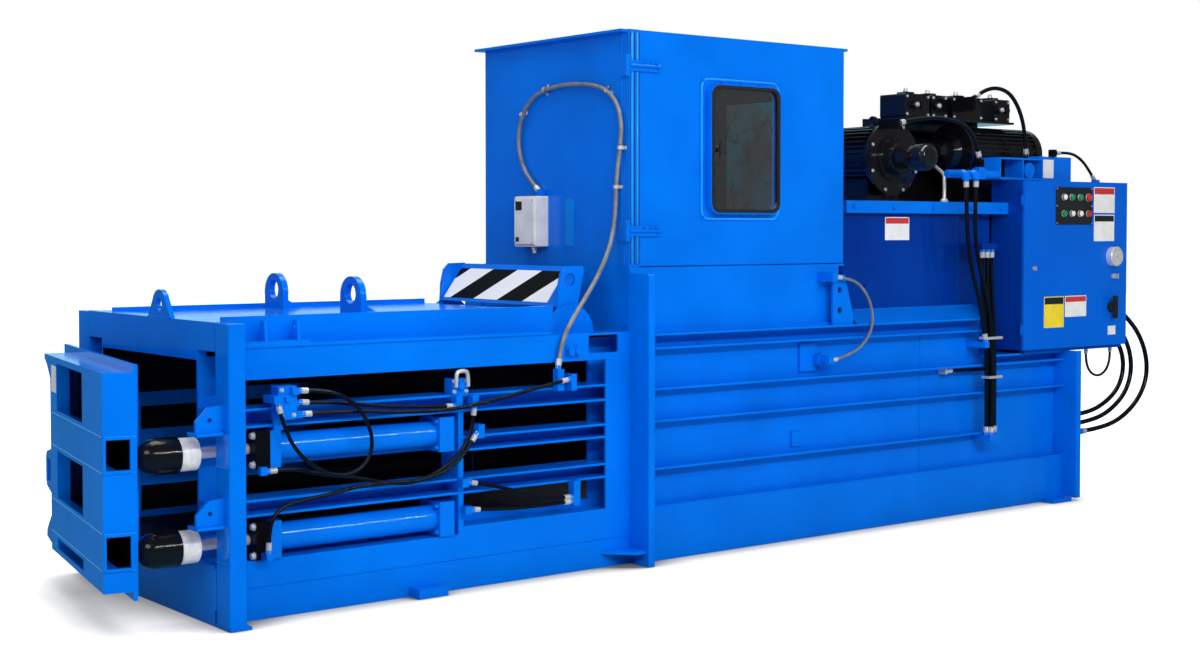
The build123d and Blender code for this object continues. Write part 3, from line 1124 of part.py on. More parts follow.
# End blocks that the sleeves screw into: X limits, depth limits, Z limits
END_BLOCKS = (
    ((291, 320), (50, 130), (866, 892)),
    ((212, 240), (50, 140), (836, 866)),
    ((320, 342), (93, 133), (814, 842)),
    ((320, 342), (70, 133), (772, 800)),
    ((1066, 1096), (93, 133), (758, 812)),
    ((1643, 1672), (70, 133), (803, 875)),
    ((176, 204), (93, 119), (560, 592)),
    ((1146, 1176), (93, 133), (770, 812)),
    ((188, 216), (70, 119), (236, 260)),
    ((1160, 1190), (70, 133), (632, 690)),
    ((1095, 1127), (93, 133), (430, 465)),
    ((1110, 1142), (93, 133), (315, 349)),
    ((1673, 1708), (93, 133), (300, 408)),
    ((1590, 1625), (98, 133), (803, 896)),
    ((3765, 3792), (139, 261), (2012, 2058)),
    ((4412, 4446), (134, 166), (1826, 1872)),
    ((4490, 4512), (250, 380), (2140, 2214)),
    ((4946, 4980), (162, 275), (1850, 1902)),
    ((4380, 4474), (29, 156), (380, 412)),
    ((4336, 4372), (29, 156), (876, 908)),
    ((5030, 5064), (134, 166), (1900, 1940)),
    ((5420, 5456), (134, 166), (1762, 1780)),
    ((5590, 5636), (134, 166), (1036, 1082)),
    ((5590, 5636), (199, 231), (990, 1036)),
    ((5119, 5316), (140, 160), (347, 367)),
    ((5108, 5316), (205, 225), (382, 402)),
    ((5590, 5640), (237, 263), (936, 990)),
    ((5108, 5316), (240, 260), (426, 446)),
    ((1998, 2026), (780, 815), (1657, 1688)),
    ((3215, 3248), (46, 150), (1244, 1290)),
    ((3192, 3224), (46, 66), (844, 880)),
)


def placed(route):
    return [Vector(x, near(depth), z) for x, depth, z in route]


def bend_radii(points):
    """Radius at each corner that leaves a tenth of the shorter run straight."""
    radii = []
    for before, corner, after in zip(points, points[1:], points[2:]):
        into = corner - before
        out = after - corner
        half_turn = math.radians(into.get_angle(out)) / 2
        radii.append(0.45 * min(into.length, out.length) / math.tan(half_turn))
    return radii


def hose(name, route, diameter):
    """Round hose along a route of straight runs joined by tangent arcs."""
    points = placed(route)
    radii = bend_radii(points)
    path = FilletPolyline(*points, radius=radii)
    start = Plane(origin=points[0], z_dir=points[1] - points[0])
    tube = sweep(start * Circle(diameter / 2), path)
    ratio = tube.volume / (math.pi * diameter ** 2 / 4 * path.length)
    print(name, "length", round(path.length), "least radius", round(min(radii)), "volume ratio", round(ratio, 4))
    return tube


def sleeves(route, diameter):
    """Crimped sleeves that carry on straight from both ends of a hose."""
    points = placed(route)
    pair = []
    for end, inner in ((points[0], points[1]), (points[-1], points[-2])):
        outward = (end - inner).normalized()
        tip = end + outward * SLEEVE_LENGTH
        pair.append(rod(tuple(end), tuple(tip), diameter / 2 + SLEEVE_EXTRA))
    return pair


def make_hose_group(name, routes, diameter):
    return Compound([hose(name + " " + str(index), route, diameter) for index, route in enumerate(routes, 1)])


def make_hose_ends(keep_clear):
    """All end blocks and sleeves, fused where they meet and cut clear of their neighbours."""
    ends = None
    for x, depths, z in END_BLOCKS:
        piece = block(x, (near(depths[0]), near(depths[1])), z)
        ends = piece if ends is None else ends + piece
    groups = (
        (FRONT_ROUTES, FRONT_HOSE_D), (POWER_ROUTES, BUNDLE_HOSE_D), (REAR_ROUTES, REAR_HOSE_D),
        ((CONDUIT_ROUTE,), CONDUIT_D), ((GAUGE_ROUTE,), FRONT_HOSE_D), ((SENSOR_ROUTE,), SENSOR_D),
        ((LOOP_ROUTE,), SENSOR_D),
    )
    for routes, diameter in groups:
        for route in routes:
            for sleeve in sleeves(route, diameter):
                ends += sleeve
    for shape in keep_clear:
        ends -= shape
    return ends


def save(shape, name):
    """Move a piece so that the floor under the middle cross beam is the origin, and write it."""
    export_step(Pos(-ORIGIN_X, 0, 0) * shape, "parts/" + name + ".step")


base = make_base()
near_post = make_front_post() + make_pin_lugs()
far_post = other_side(make_front_post()) + make_hinge_brackets()
mid_post = make_posts(MID_POST_X, CHANNEL_FLANGE, CHANNEL_DEPTH, (0, MID_POST_Z), 16)
rear_post = make_posts(REAR_POST_X, REAR_POST_FLANGE, PRESS_WALL_IN, (REAR_FOOT_Z, REAR_POST_Z), 0)
near_wall = make_side_wall(True) + make_flap_bracket() - base
far_wall = other_side(make_side_wall(False) + make_flap_bracket()) - base
roof = make_roof() + make_ledge_bracket()
press_wall = make_press_wall()
near_press_wall = press_wall + make_sensor_bracket()
front_block = make_front_manifold()
tee_block = make_tee_manifold()
power_header = make_power_manifold()
tank = make_tank() + make_bundle_bracket()
control_box = make_control_box()

save(base, "base_frame")
save(near_post, "front_post_near")
save(far_post, "front_post_far")
save(Compound([mid_post, other_side(mid_post)]), "mid_posts")
save(Compound([rear_post, other_side(rear_post)]), "rear_posts")
save(near_wall, "side_wall_near")
save(far_wall, "side_wall_far")
save(roof, "roof_frame")
save(make_lifting_eyes(), "lifting_eyes")
save(near_press_wall, "press_wall_near")
save(other_side(press_wall), "press_wall_far")
save(make_press_roof(), "press_roof")
save(make_bulkhead(), "rear_bulkhead")
save(make_floor(), "chamber_floor")
save(make_throat(), "hopper_throat")
save(make_hopper(), "hopper_shell")
save(other_side(window_pane(near(HOPPER_IN))), "far_window_pane")
save(make_hopper_door(), "hopper_door")
save(window_gasket(near(HOPPER_IN) - 12), "window_gasket")
save(window_pane(near(HOPPER_IN) - 12) - make_window_latch(), "near_window_pane")
save(make_window_latch(), "window_latch")
save(make_discharge_door(), "discharge_door")
save(make_hinge_pins(), "door_hinge_pins")
for label, level in zip(("lower", "upper"), CYL_ZS):
    save(make_door_cylinder(level), "door_cylinder_" + label)
    save(make_door_rod(level), "door_rod_" + label)
    save(make_coupling(level), "door_coupling_" + label)
save(make_ram(), "ram")
save(make_ram_rod(), "ram_rod")
save(make_main_cylinder(), "main_cylinder")
save(make_flap(), "safety_flap")
save(tank, "oil_tank")
save(make_deck(), "motor_deck")
save(make_main_motor(), "main_motor")
save(make_main_pump(), "main_pump")
save(make_aux_motor(), "aux_motor")
save(make_aux_pump(), "aux_pump")
save(make_valve_stack(), "valve_stack")
save(power_header, "power_manifold")
save(control_box, "control_box")
save(make_control_door(), "control_door")
save(make_button_panel(), "button_panel")
moving_buttons = [centre for centre in switch_centres() if centre not in PILOTS]
button_names = ("button_forward", "button_reverse", "button_stop", "button_start", "button_release")
for button_name, (button_x, button_z) in zip(button_names, moving_buttons):
    cap_radius = BUTTON_CAP_R + 4 if button_name == "button_stop" else BUTTON_CAP_R
    save(make_button(button_x, button_z, cap_radius), button_name)
save(make_gauge(), "pressure_gauge")
save(make_key_switch(), "key_switch")
save(make_disconnect(), "disconnect_handle")
save(make_door_lock(), "door_lock")
save(make_junction_box(), "junction_box")
save(Compound([*front_block.solids(), *tee_block.solids()]), "hose_manifolds")
save(make_hose_group("front hose", FRONT_ROUTES, FRONT_HOSE_D), "front_hoses")
power_hoses = make_hose_group("power hose", POWER_ROUTES, BUNDLE_HOSE_D)
gauge_hose = hose("gauge hose", GAUGE_ROUTE, FRONT_HOSE_D)
save(Compound([*power_hoses.solids(), *gauge_hose.solids()]), "power_hoses")
rear_hoses = make_hose_group("rear hose", REAR_ROUTES, REAR_HOSE_D)
loop_hose = hose("loop hose", LOOP_ROUTE, SENSOR_D)
save(Compound([*rear_hoses.solids(), *loop_hose.solids()]), "rear_hoses")
conduit = hose("conduit", CONDUIT_ROUTE, CONDUIT_D)
sensor_cable = hose("sensor cable", SENSOR_ROUTE, SENSOR_D)
save(Compound([*conduit.solids(), *sensor_cable.solids()]), "cables")
neighbours = (near_wall, near_press_wall, front_block, tee_block, power_header, tank, control_box)
save(make_hose_ends(neighbours), "hose_ends")
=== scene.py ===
import bpy
import bmesh
import math
import random
from mathutils import Matrix, Vector


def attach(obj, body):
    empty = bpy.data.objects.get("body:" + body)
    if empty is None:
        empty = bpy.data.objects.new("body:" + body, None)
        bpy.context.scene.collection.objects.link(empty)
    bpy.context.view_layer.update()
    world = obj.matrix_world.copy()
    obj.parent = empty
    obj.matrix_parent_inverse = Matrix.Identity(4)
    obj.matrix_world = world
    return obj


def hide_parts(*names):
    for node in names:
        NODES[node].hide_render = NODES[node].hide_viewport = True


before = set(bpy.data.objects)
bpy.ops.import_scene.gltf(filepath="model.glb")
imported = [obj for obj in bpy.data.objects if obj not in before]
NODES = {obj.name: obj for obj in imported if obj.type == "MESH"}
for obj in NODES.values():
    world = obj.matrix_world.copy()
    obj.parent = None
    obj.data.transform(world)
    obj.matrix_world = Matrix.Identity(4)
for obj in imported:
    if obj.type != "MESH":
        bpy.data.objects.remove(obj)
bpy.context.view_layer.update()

random.seed(7)

# The part's frame starts 2052 mm along the machine, on its centre line
ORIGIN_X = 2052.0
HALF_WIDTH = 728.5

# Faces of the solids, in millimetres in from the near side
PANEL_FACE = 41
CONTROL_FACE = 45
SHELL_FACE = 150
PRESS_FACE = 156
TANK_FACE = 190

# Middles of the gauge and of the main pump, in millimetres along and up
GAUGE = (5453, 1347)
PUMP = (3875, 1866)

# Heights in millimetres: the door cylinders, the hopper door's hinges, and the hopper's corner
CYLINDER_LEVELS = (304, 654)
HINGE_LEVELS = (1491, 2230)
CORNER_TOP = 2380

# Directions in which bolts, caps and bars point
NEAR = (0, -1, 0)
TO_DOOR = (-1, 0, 0)
TO_REAR = (1, 0, 0)
UP = (0, 0, 1)
DOWN = (0, 0, -1)


def at(x, depth, z):
    """Point in the part's frame, in metres, from millimetres along, in from the near side and up."""
    return Vector(((x - ORIGIN_X) / 1000, (depth - HALF_WIDTH) / 1000, z / 1000))


def x_of(x):
    """The part's x, in metres, from millimetres along."""
    return at(x, 0, 0).x


# The discharge door's pin, and its angle at rest from shut
DOOR_PIN = at(-45, 1330, 0)
DOOR_REST = math.radians(-10.6)

# Camera
YAW = 51.88429
PITCH = 1.93256
camera_data = bpy.data.cameras.new("camera")
camera = bpy.data.objects.new("camera", camera_data)
bpy.context.scene.collection.objects.link(camera)
camera_data.lens = 52.1
camera_data.sensor_width = 36
camera_data.shift_y = -0.034
camera_data.clip_end = 100
camera.location = at(-2873.16, -5884.93, 1497.65)
camera.rotation_euler = (math.radians(90 - PITCH), 0, math.radians(YAW - 90))
bpy.context.scene.camera = camera
bpy.context.scene.view_settings.view_transform = "Standard"


# Shader helpers
class Shader:
    """Small builder for a node material around one Principled node."""

    def __init__(self, name):
        self.material = bpy.data.materials.new(name)
        self.material.use_nodes = True
        self.tree = self.material.node_tree
        self.main = self.tree.nodes["Principled BSDF"]
        self.place = self.tree.nodes.new("ShaderNodeTexCoord").outputs["Object"]

    def node(self, kind, **inputs):
        made = self.tree.nodes.new(kind)
        for key, value in inputs.items():
            self.feed(made, key, value)
        return made

    def feed(self, made, key, value):
        """Links or sets one input; a key such as i0 is the input's index, any other its name."""
        target = made.inputs[int(key[1:])] if key[0] == "i" and key[1:].isdigit() else made.inputs[key]
        if isinstance(value, bpy.types.NodeSocket):
            self.tree.links.new(value, target)
        else:
            target.default_value = value

    def noise(self, scale, detail=3.0, rough=0.5, where=None):
        made = self.node(
            "ShaderNodeTexNoise", Vector=where or self.place, Scale=scale, Detail=detail, Roughness=rough)
        return made.outputs["Fac"]

    def math(self, operation, a, b=0.0):
        made = self.node("ShaderNodeMath", i0=a, i1=b)
        made.operation = operation
        return made.outputs[0]

    def ramp(self, value, low, high):
        """Value from low to high, spread over 0 to 1."""
        made = self.node("ShaderNodeMapRange", Value=value)
        made.inputs["From Min"].default_value = low
        made.inputs["From Max"].default_value = high
        return made.outputs[0]

    def mix(self, fac, a, b):
        """Colour between a and b."""
        made = self.tree.nodes.new("ShaderNodeMix")
        made.data_type = "RGBA"
        for index, value in ((0, fac), (6, a), (7, b)):
            if isinstance(value, bpy.types.NodeSocket):
                self.tree.links.new(value, made.inputs[index])
            else:
                made.inputs[index].default_value = value if index == 0 else (*value, 1)
        return made.outputs[2]

    def bump(self, height, strength, distance, after=None):
        made = self.node("ShaderNodeBump", Height=height, Strength=strength, Distance=distance)
        if after is not None:
            self.tree.links.new(after, made.inputs["Normal"])
        return made.outputs[0]

    def axis(self, index):
        return self.node("ShaderNodeSeparateXYZ", Vector=self.place).outputs[index]

    def between(self, value, low, high):
        return self.math("MULTIPLY", self.math("GREATER_THAN", value, low), self.math("LESS_THAN", value, high))

    def set(self, **inputs):
        for key, value in inputs.items():
            self.feed(self.main, key.replace("_", " "), value)


def blend(tree, factor, low, high):
    """Mix Shader node between two shader nodes."""
    made = tree.nodes.new("ShaderNodeMixShader")
    for target, source in zip(made.inputs, (factor, low.outputs[0], high.outputs[0])):
        tree.links.new(source, target)
    return made


# Near black: the own black of the coupling, the ports and the glands, and painted shade inside the chamber, the
# hopper and the door's cells
BLACK_AND_SHADE = (0.004, 0.004, 0.005)


def painted(name, colour, deep, rough=0.15, coat=0.14, dark_where=None, sheen=(0.05, 0.42, 1.0)):
    """Sprayed gloss paint: soft unevenness, specks, orange peel, and near black where dark_where says, which is
    painted shade inside the chamber, the hopper and the door's cells, and the own black of the ports and the glands.
    """
    s = Shader(name)
    cloud = s.ramp(s.noise(2.3, 4.0), 0.35, 0.7)
    base = s.mix(cloud, colour, deep)
    speck = s.ramp(s.noise(160.0, 2.0, 0.7), 0.72, 0.78)
    base = s.mix(s.math("MULTIPLY", speck, 0.35), base, tuple(min(1.0, c + 0.12) for c in colour))
    if dark_where is not None:
        darkened = dark_where(s)
        undarkened = s.math("SUBTRACT", 1.0, darkened)
        base = s.mix(darkened, base, BLACK_AND_SHADE)
        coat = s.math("MULTIPLY", undarkened, coat)
        s.set(Specular_IOR_Level=s.math("ADD", s.math("MULTIPLY", undarkened, 0.42), 0.08))
    s.set(Base_Color=base)
    s.set(Roughness=s.math("ADD", s.math("MULTIPLY", s.noise(9.0, 5.0), 0.16), rough - 0.07))
    s.set(Coat_Weight=coat, Coat_Roughness=0.04, IOR=1.5, Specular_Tint=(*sheen, 1))
    peel = s.bump(s.noise(420.0, 1.0), 0.10, 0.0004)
    s.set(Normal=s.bump(s.noise(26.0, 2.0), 0.10, 0.0012, peel))
    return s.material


def metal(name, colour, rough, brushed, scale=(4.0, 260.0, 260.0), bare=0.5):
    """Stained metal with fine lines; bare is how far it is metal and not a grey coat."""
    s = Shader(name)
    stretched = s.node("ShaderNodeMapping", Vector=s.place, Scale=scale).outputs[0]
    lines = s.noise(1.0, 3.0, 0.6, stretched)
    stain = s.ramp(s.noise(7.0, 4.0), 0.3, 0.8)
    s.set(Base_Color=s.mix(stain, colour, tuple(c * 0.72 for c in colour)), Metallic=bare)
    s.set(Roughness=s.math("ADD", s.math("MULTIPLY", lines, brushed + 0.08), rough))
    s.set(Normal=s.bump(lines, 0.15 * (brushed + 0.2), 0.0004))
    return s.material


def plain(name, colour, rough, grain=300.0, coat=0.0, shine=0.5):
    """Moulded plastic or rubber with a fine grain."""
    s = Shader(name)
    tone = s.ramp(s.noise(14.0, 3.0), 0.3, 0.8)
    s.set(Base_Color=s.mix(tone, colour, tuple(c * 0.8 for c in colour)), Coat_Weight=coat)
    s.set(Roughness=s.math("ADD", s.math("MULTIPLY", s.noise(40.0, 2.0), 0.12), rough))
    s.set(Normal=s.bump(s.noise(grain, 2.0), 0.12, 0.0003), Specular_IOR_Level=shine)
    return s.material


BLUE = (0.0, 0.165, 0.80)
BLUE_DEEP = (0.0, 0.135, 0.68)
# SHADE is the blue painted darker, as painted shade on the control box
SHADE = (0.0, 0.042, 0.34)
SHADE_DEEP = (0.0, 0.032, 0.27)

# Where painted shade and the black ports lie, in metres in the part's frame; the door's cells are measured from its
# pin, along the shut door
FAR_WALL_INSIDE_Y = (0.4540, 0.4550)
SLOT_COVERS_Y = (0.4658, 0.4672)
TOP_SLOT_Z = 0.80
CEILING_Z = 1.0005
CHAMBER_HALF_WIDTH = 0.456
HOPPER_INSIDE_X = (-0.0155, 1.3415)
HOPPER_INSIDE_HALF_WIDTH = 0.5565
CELL_OUT_FROM_PIN = (0.0415, 0.0985)
CELL_Z = (0.1775, 0.9645)
CELL_ACROSS_FROM_PIN = (-1.1875, -0.1715)
DRIVES_Z = 1.83


def shaded_inside_far(s):
    """Painted shade inside the far wall: on the covers behind its slots, and everywhere far from the end."""
    inside = s.between(s.axis(1), *FAR_WALL_INSIDE_Y)
    deep = s.ramp(s.axis(0), x_of(700), x_of(1000))
    high = s.math("GREATER_THAN", s.axis(2), TOP_SLOT_Z)
    covers = s.between(s.axis(1), *SLOT_COVERS_Y)
    return s.math("MAXIMUM", covers, s.math("MULTIPLY", inside, s.math("MAXIMUM", deep, high)))


def ceiling_inside(s):
    """Painted shade under the chamber's roof."""
    under = s.math("LESS_THAN", s.axis(2), CEILING_Z)
    return s.math("MULTIPLY", under, s.math("LESS_THAN", s.math("ABSOLUTE", s.axis(1)), CHAMBER_HALF_WIDTH))


def hopper_inside(s):
    """Painted shade on the hopper's inner faces."""
    along = s.between(s.axis(0), *HOPPER_INSIDE_X)
    within = s.math("LESS_THAN", s.math("ABSOLUTE", s.axis(1)), HOPPER_INSIDE_HALF_WIDTH)
    return s.math("MULTIPLY", along, within)


def behind_door_skin(s):
    """Painted shade deep in the discharge door's cells, from about 52 mm behind its outer face."""
    from_pin_x = s.math("SUBTRACT", s.axis(0), DOOR_PIN.x)
    from_pin_y = s.math("SUBTRACT", s.axis(1), DOOR_PIN.y)
    cosine, sine = math.cos(DOOR_REST), math.sin(DOOR_REST)
    out_of_door = s.math("ADD", s.math("MULTIPLY", from_pin_x, cosine), s.math("MULTIPLY", from_pin_y, sine))
    across = s.math("SUBTRACT", s.math("MULTIPLY", from_pin_y, cosine), s.math("MULTIPLY", from_pin_x, sine))
    cell = s.between(s.math("MULTIPLY", out_of_door, -1.0), *CELL_OUT_FROM_PIN)
    within = s.between(s.axis(2), *CELL_Z)
    return s.math("MULTIPLY", s.math("MULTIPLY", cell, within), s.between(across, *CELL_ACROSS_FROM_PIN))


def by_the_drives(s):
    """Dark ports among the motors, over the deck."""
    behind = s.math("GREATER_THAN", s.axis(0), x_of(3500))
    return s.math("MULTIPLY", behind, s.math("GREATER_THAN", s.axis(2), DRIVES_Z))


def gland_end(s):
    """Dark glands at the door cylinders' rod ends."""
    return s.math("LESS_THAN", s.axis(0), x_of(229.5))


blue = painted("paint_blue", BLUE, BLUE_DEEP)
blue_shade = painted("paint_blue_shade", SHADE, SHADE_DEEP)
# The tank and the control door in darker copies of the blue, as painted shade
blue_tank_shade = painted("paint_blue_tank", (0.0, 0.035, 0.30), (0.0, 0.022, 0.22))
blue_panel_shade = painted("paint_blue_panel", (0.0, 0.115, 0.66), (0.0, 0.095, 0.58))
# Copies of the blue with painted shade near black inside the chamber's walls and roof, the hopper and the door's
# cells; the gland and port copies are black where those parts are black
blue_far = painted("paint_blue_slots", BLUE, BLUE_DEEP, dark_where=shaded_inside_far)
blue_roof = painted("paint_blue_ceiling", BLUE, BLUE_DEEP, dark_where=ceiling_inside)
blue_hopper = painted("paint_blue_hopper", BLUE, BLUE_DEEP, dark_where=hopper_inside)
blue_door = painted("paint_blue_door", BLUE, BLUE_DEEP, dark_where=behind_door_skin)
blue_gland = painted("paint_blue_gland", BLUE, BLUE_DEEP, rough=0.11, coat=0.7, dark_where=gland_end)
blue_ports = painted("paint_blue_ports", BLUE, BLUE_DEEP, dark_where=by_the_drives)
black = painted("paint_black", (0.006, 0.006, 0.007), (0.003, 0.003, 0.004), 0.17, 0.5, sheen=(1.0, 1.0, 1.0))
steel = metal("plain_steel", (0.62, 0.62, 0.63), 0.28, 0.2)
# Near-black steel, as painted shade inside the chamber, on its floor and the ram
shaded_steel = metal("shaded_steel", (0.045, 0.045, 0.05), 0.45, 0.2, bare=1.0)
chrome = metal("chromed_rod", (0.97, 0.97, 0.98), 0.04, 0.0, bare=0.45)
zinc = metal("zinc_fitting", (0.72, 0.72, 0.70), 0.22, 0.1, (90.0, 90.0, 90.0))
rubber = plain("hose_rubber", (0.003, 0.003, 0.004), 0.15, 500.0, 0.0, 0.3)
gasket = plain("black_rubber", (0.010, 0.010, 0.010), 0.55)
plastic = plain("black_plastic", (0.014, 0.014, 0.015), 0.42)
green = plain("green_plastic", (0.01, 0.26, 0.10), 0.22, 300.0, 0.4)
red = plain("red_plastic", (0.52, 0.03, 0.02), 0.22, 300.0, 0.4)
white_plastic = plain("white_plastic", (0.78, 0.78, 0.76), 0.35)
label_white = plain("label_white", (0.80, 0.81, 0.82), 0.40, 120.0, 0.2)
label_red = plain("label_red", (0.60, 0.03, 0.03), 0.40, 120.0, 0.2)
label_yellow = plain("label_yellow", (0.85, 0.68, 0.02), 0.40, 120.0, 0.2)
label_black = plain("label_black", (0.012, 0.012, 0.012), 0.40, 120.0, 0.2)
# A lighter blue for beads, as painted highlights
highlight_blue = painted("paint_blue_bead_highlights", (0.02, 0.34, 0.90), (0.01, 0.26, 0.85), rough=0.16)
patch_blue = painted("paint_blue_patch", (0.0, 0.24, 0.78), (0.0, 0.20, 0.70))


def weathered_material():
    """Bare plate with a thin teal bloom and dark stains."""
    s = Shader("weathered_plate")
    bloom = s.ramp(s.noise(5.0, 5.0), 0.42, 0.62)
    base = s.mix(bloom, (0.05, 0.052, 0.048), (0.004, 0.12, 0.16))
    stain = s.ramp(s.noise(14.0, 6.0, 0.7), 0.50, 0.66)
    s.set(Base_Color=s.mix(stain, base, (0.012, 0.012, 0.014)), Metallic=0.2, Roughness=0.6)
    s.set(Normal=s.bump(s.noise(60.0, 4.0), 0.3, 0.001))
    return s.material


def conduit_material():
    """Ribbed metal conduit: ribs go round it because they follow the tube's own length."""
    s = Shader("conduit_grey")
    along = s.tree.nodes.new("ShaderNodeTexCoord").outputs["UV"]
    u = s.node("ShaderNodeSeparateXYZ", Vector=along).outputs[0]
    wave = s.math("SINE", s.math("MULTIPLY", u, 2600.0))
    s.set(Base_Color=s.mix(s.ramp(s.noise(20.0), 0.3, 0.7), (0.30, 0.305, 0.30), (0.17, 0.17, 0.17)))
    s.set(Metallic=0.35, Roughness=0.42, Normal=s.bump(wave, 0.5, 0.0006))
    return s.material


def coupling_material():
    """Black coupling with a taped white band behind it."""
    s = Shader("coupling_black")
    wrap = s.bump(s.noise(70.0, 3.0), 0.5, 0.001)
    mask = s.math("GREATER_THAN", s.axis(0), x_of(-127))
    white = s.mix(s.ramp(s.noise(30.0, 4.0), 0.35, 0.75), (0.80, 0.81, 0.82), (0.50, 0.51, 0.52))
    s.set(Base_Color=s.mix(mask, BLACK_AND_SHADE, white))
    s.set(Roughness=s.math("ADD", s.math("MULTIPLY", mask, 0.25), 0.12))
    s.set(Normal=wrap, Specular_IOR_Level=0.35)
    return s.material


def pane_material(name, tint, haze):
    """Clear sheet with uneven haze on it."""
    s = Shader(name)
    s.set(Base_Color=(*tint, 1), Transmission_Weight=1.0, IOR=1.45)
    s.set(Roughness=s.math("MULTIPLY", s.noise(18.0, 5.0), haze))
    return s.material


weathered = weathered_material()
conduit_grey = conduit_material()
coupling = coupling_material()
pane = pane_material("clear_pane", (0.80, 0.86, 0.88), 0.03)
dusty_pane = pane_material("dusty_pane", (0.16, 0.19, 0.20), 0.08)
gauge_glass = pane_material("gauge_glass", (1.0, 1.0, 1.0), 0.01)
DRESS = {
    "side_wall_far": blue_far, "side_wall_near": blue_far, "press_wall_far": blue_far, "press_wall_near": blue_far,
    "roof_frame": blue_roof, "chamber_floor": shaded_steel, "hopper_shell": blue_hopper, "discharge_door": blue_door,
    "door_cylinder_lower": blue_gland, "door_cylinder_upper": blue_gland, "oil_tank": blue_tank_shade,
    "control_box": blue_shade, "control_door": blue_panel_shade, "hose_ends": blue_ports,
    "far_window_pane": dusty_pane, "near_window_pane": pane, "window_gasket": gasket, "window_latch": plastic,
    "door_hinge_pins": steel, "door_rod_lower": chrome, "door_rod_upper": chrome, "ram_rod": chrome,
    "ram": shaded_steel, "door_coupling_lower": coupling, "door_coupling_upper": coupling,
    "main_motor": black, "main_pump": black, "aux_motor": black, "aux_pump": black, "valve_stack": black,
    "button_panel": plastic, "button_forward": green, "button_reverse": green, "button_stop": red,
    "button_start": green, "button_release": red, "pressure_gauge": chrome, "key_switch": steel,
    "disconnect_handle": plastic, "door_lock": steel, "junction_box": white_plastic,
}
for node_name, node in NODES.items():
    for material_slot in node.material_slots:
        material_slot.material = DRESS.get(node_name, blue)

# Sheet metal parts get slightly rounded edges
SOFT_EDGES = (
    "base_frame", "front_post_near", "front_post_far", "mid_posts", "rear_posts", "side_wall_near", "roof_frame",
    "lifting_eyes", "press_wall_near", "press_roof", "hopper_throat", "hopper_shell", "hopper_door",
    "discharge_door", "oil_tank", "motor_deck", "control_box", "control_door", "power_manifold", "safety_flap",
    "junction_box", "hose_manifolds", "door_cylinder_upper", "door_cylinder_lower", "valve_stack",
)
EDGE_WIDTH = 0.0035
for node_name in SOFT_EDGES:
    merged = NODES[node_name].modifiers.new("flat", "DECIMATE")
    merged.decimate_type = "DISSOLVE"
    merged.angle_limit = math.radians(1.0)
    soft = NODES[node_name].modifiers.new("soft", "BEVEL")
    soft.width = EDGE_WIDTH
    soft.segments = 2
    soft.limit_method = "ANGLE"
    soft.angle_limit = math.radians(50)


# Mesh helpers
def link(name, mesh, body, material):
    """Named piece that rides on a body."""
    made = bpy.data.objects.new(name, mesh)
    bpy.context.scene.collection.objects.link(made)
    made.data.materials.append(material)
    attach(made, body)


def from_bm(name, bm, body, material, smooth=False):
    mesh = bpy.data.meshes.new(name)
    bmesh.ops.recalc_face_normals(bm, faces=bm.faces)
    bm.to_mesh(mesh)
    bm.free()
    if smooth:
        mesh.shade_smooth()
    link(name, mesh, body, material)


def add_box(bm, low, high, bevel):
    """Box between two corners, with rounded edges."""
    centre = (low + high) / 2
    size = Vector([abs(high[i] - low[i]) for i in range(3)])
    new = bmesh.ops.create_cube(bm, size=1.0, matrix=Matrix.Translation(centre) @ Matrix.Diagonal((*size, 1)))
    edges = dict.fromkeys(e for v in new["verts"] for e in v.link_edges)
    bmesh.ops.bevel(bm, geom=list(edges), offset=bevel, segments=2, affect="EDGES", profile=0.5)


def ring_at(bm, centre, turn, radius, steps, along=0.0):
    """Ring of points round a centre, in the plane that turn lays down."""
    ring = []
    for i in range(steps):
        angle = 2 * math.pi * i / steps
        spot = Vector((radius * math.cos(angle), radius * math.sin(angle), along))
        ring.append(bm.verts.new(centre + turn @ spot))
    return ring


def bridge(bm, one, two):
    """Faces between two rings with the same number of points."""
    for i in range(len(one)):
        j = (i + 1) % len(one)
        bm.faces.new((one[i], one[j], two[j], two[i]))


def turned(bm, profile, start, direction, steps):
    """Surface of revolution: profile is (along, radius) pairs from start along direction."""
    turn = Vector(direction).to_track_quat("Z", "Y").to_matrix()
    rings = [ring_at(bm, start, turn, radius, steps, along) for along, radius in profile]
    for one, two in zip(rings, rings[1:]):
        bridge(bm, one, two)
    bm.faces.new(list(reversed(rings[0])))
    bm.faces.new(rings[-1])


def hex_bolt(bm, point, direction, across, height, washer=True):
    """Hexagon head with a chamfer, on a washer."""
    d = Vector(direction).normalized()
    start = Vector(point)
    if washer:
        turned(bm, ((0, across * 0.72), (0.0022, across * 0.72), (0.0027, across * 0.66)), start, d, 24)
        start = start + d * 0.0025
    r = across / math.sqrt(3)
    turned(bm, ((0, r), (height * 0.8, r), (height, r * 0.84)), start, d, 6)


BEAD_SIDES = 6
LEAST_RIPPLES = 6
MOST_RIPPLES = 220


def weld(bm, a, b, radius):
    """Bead of overlapping ripples along a seam."""
    line = b - a
    steps = min(max(LEAST_RIPPLES, int(line.length / (radius * 0.9))), MOST_RIPPLES)
    turn = line.to_track_quat("Z", "Y").to_matrix()
    rings = []
    for k in range(steps + 1):
        r = radius * (0.82 + 0.18 * math.sin(k * 2.2) + random.uniform(-0.06, 0.06))
        rings.append(ring_at(bm, a + line * (k / steps), turn, r, BEAD_SIDES))
    for one, two in zip(rings, rings[1:]):
        bridge(bm, one, two)


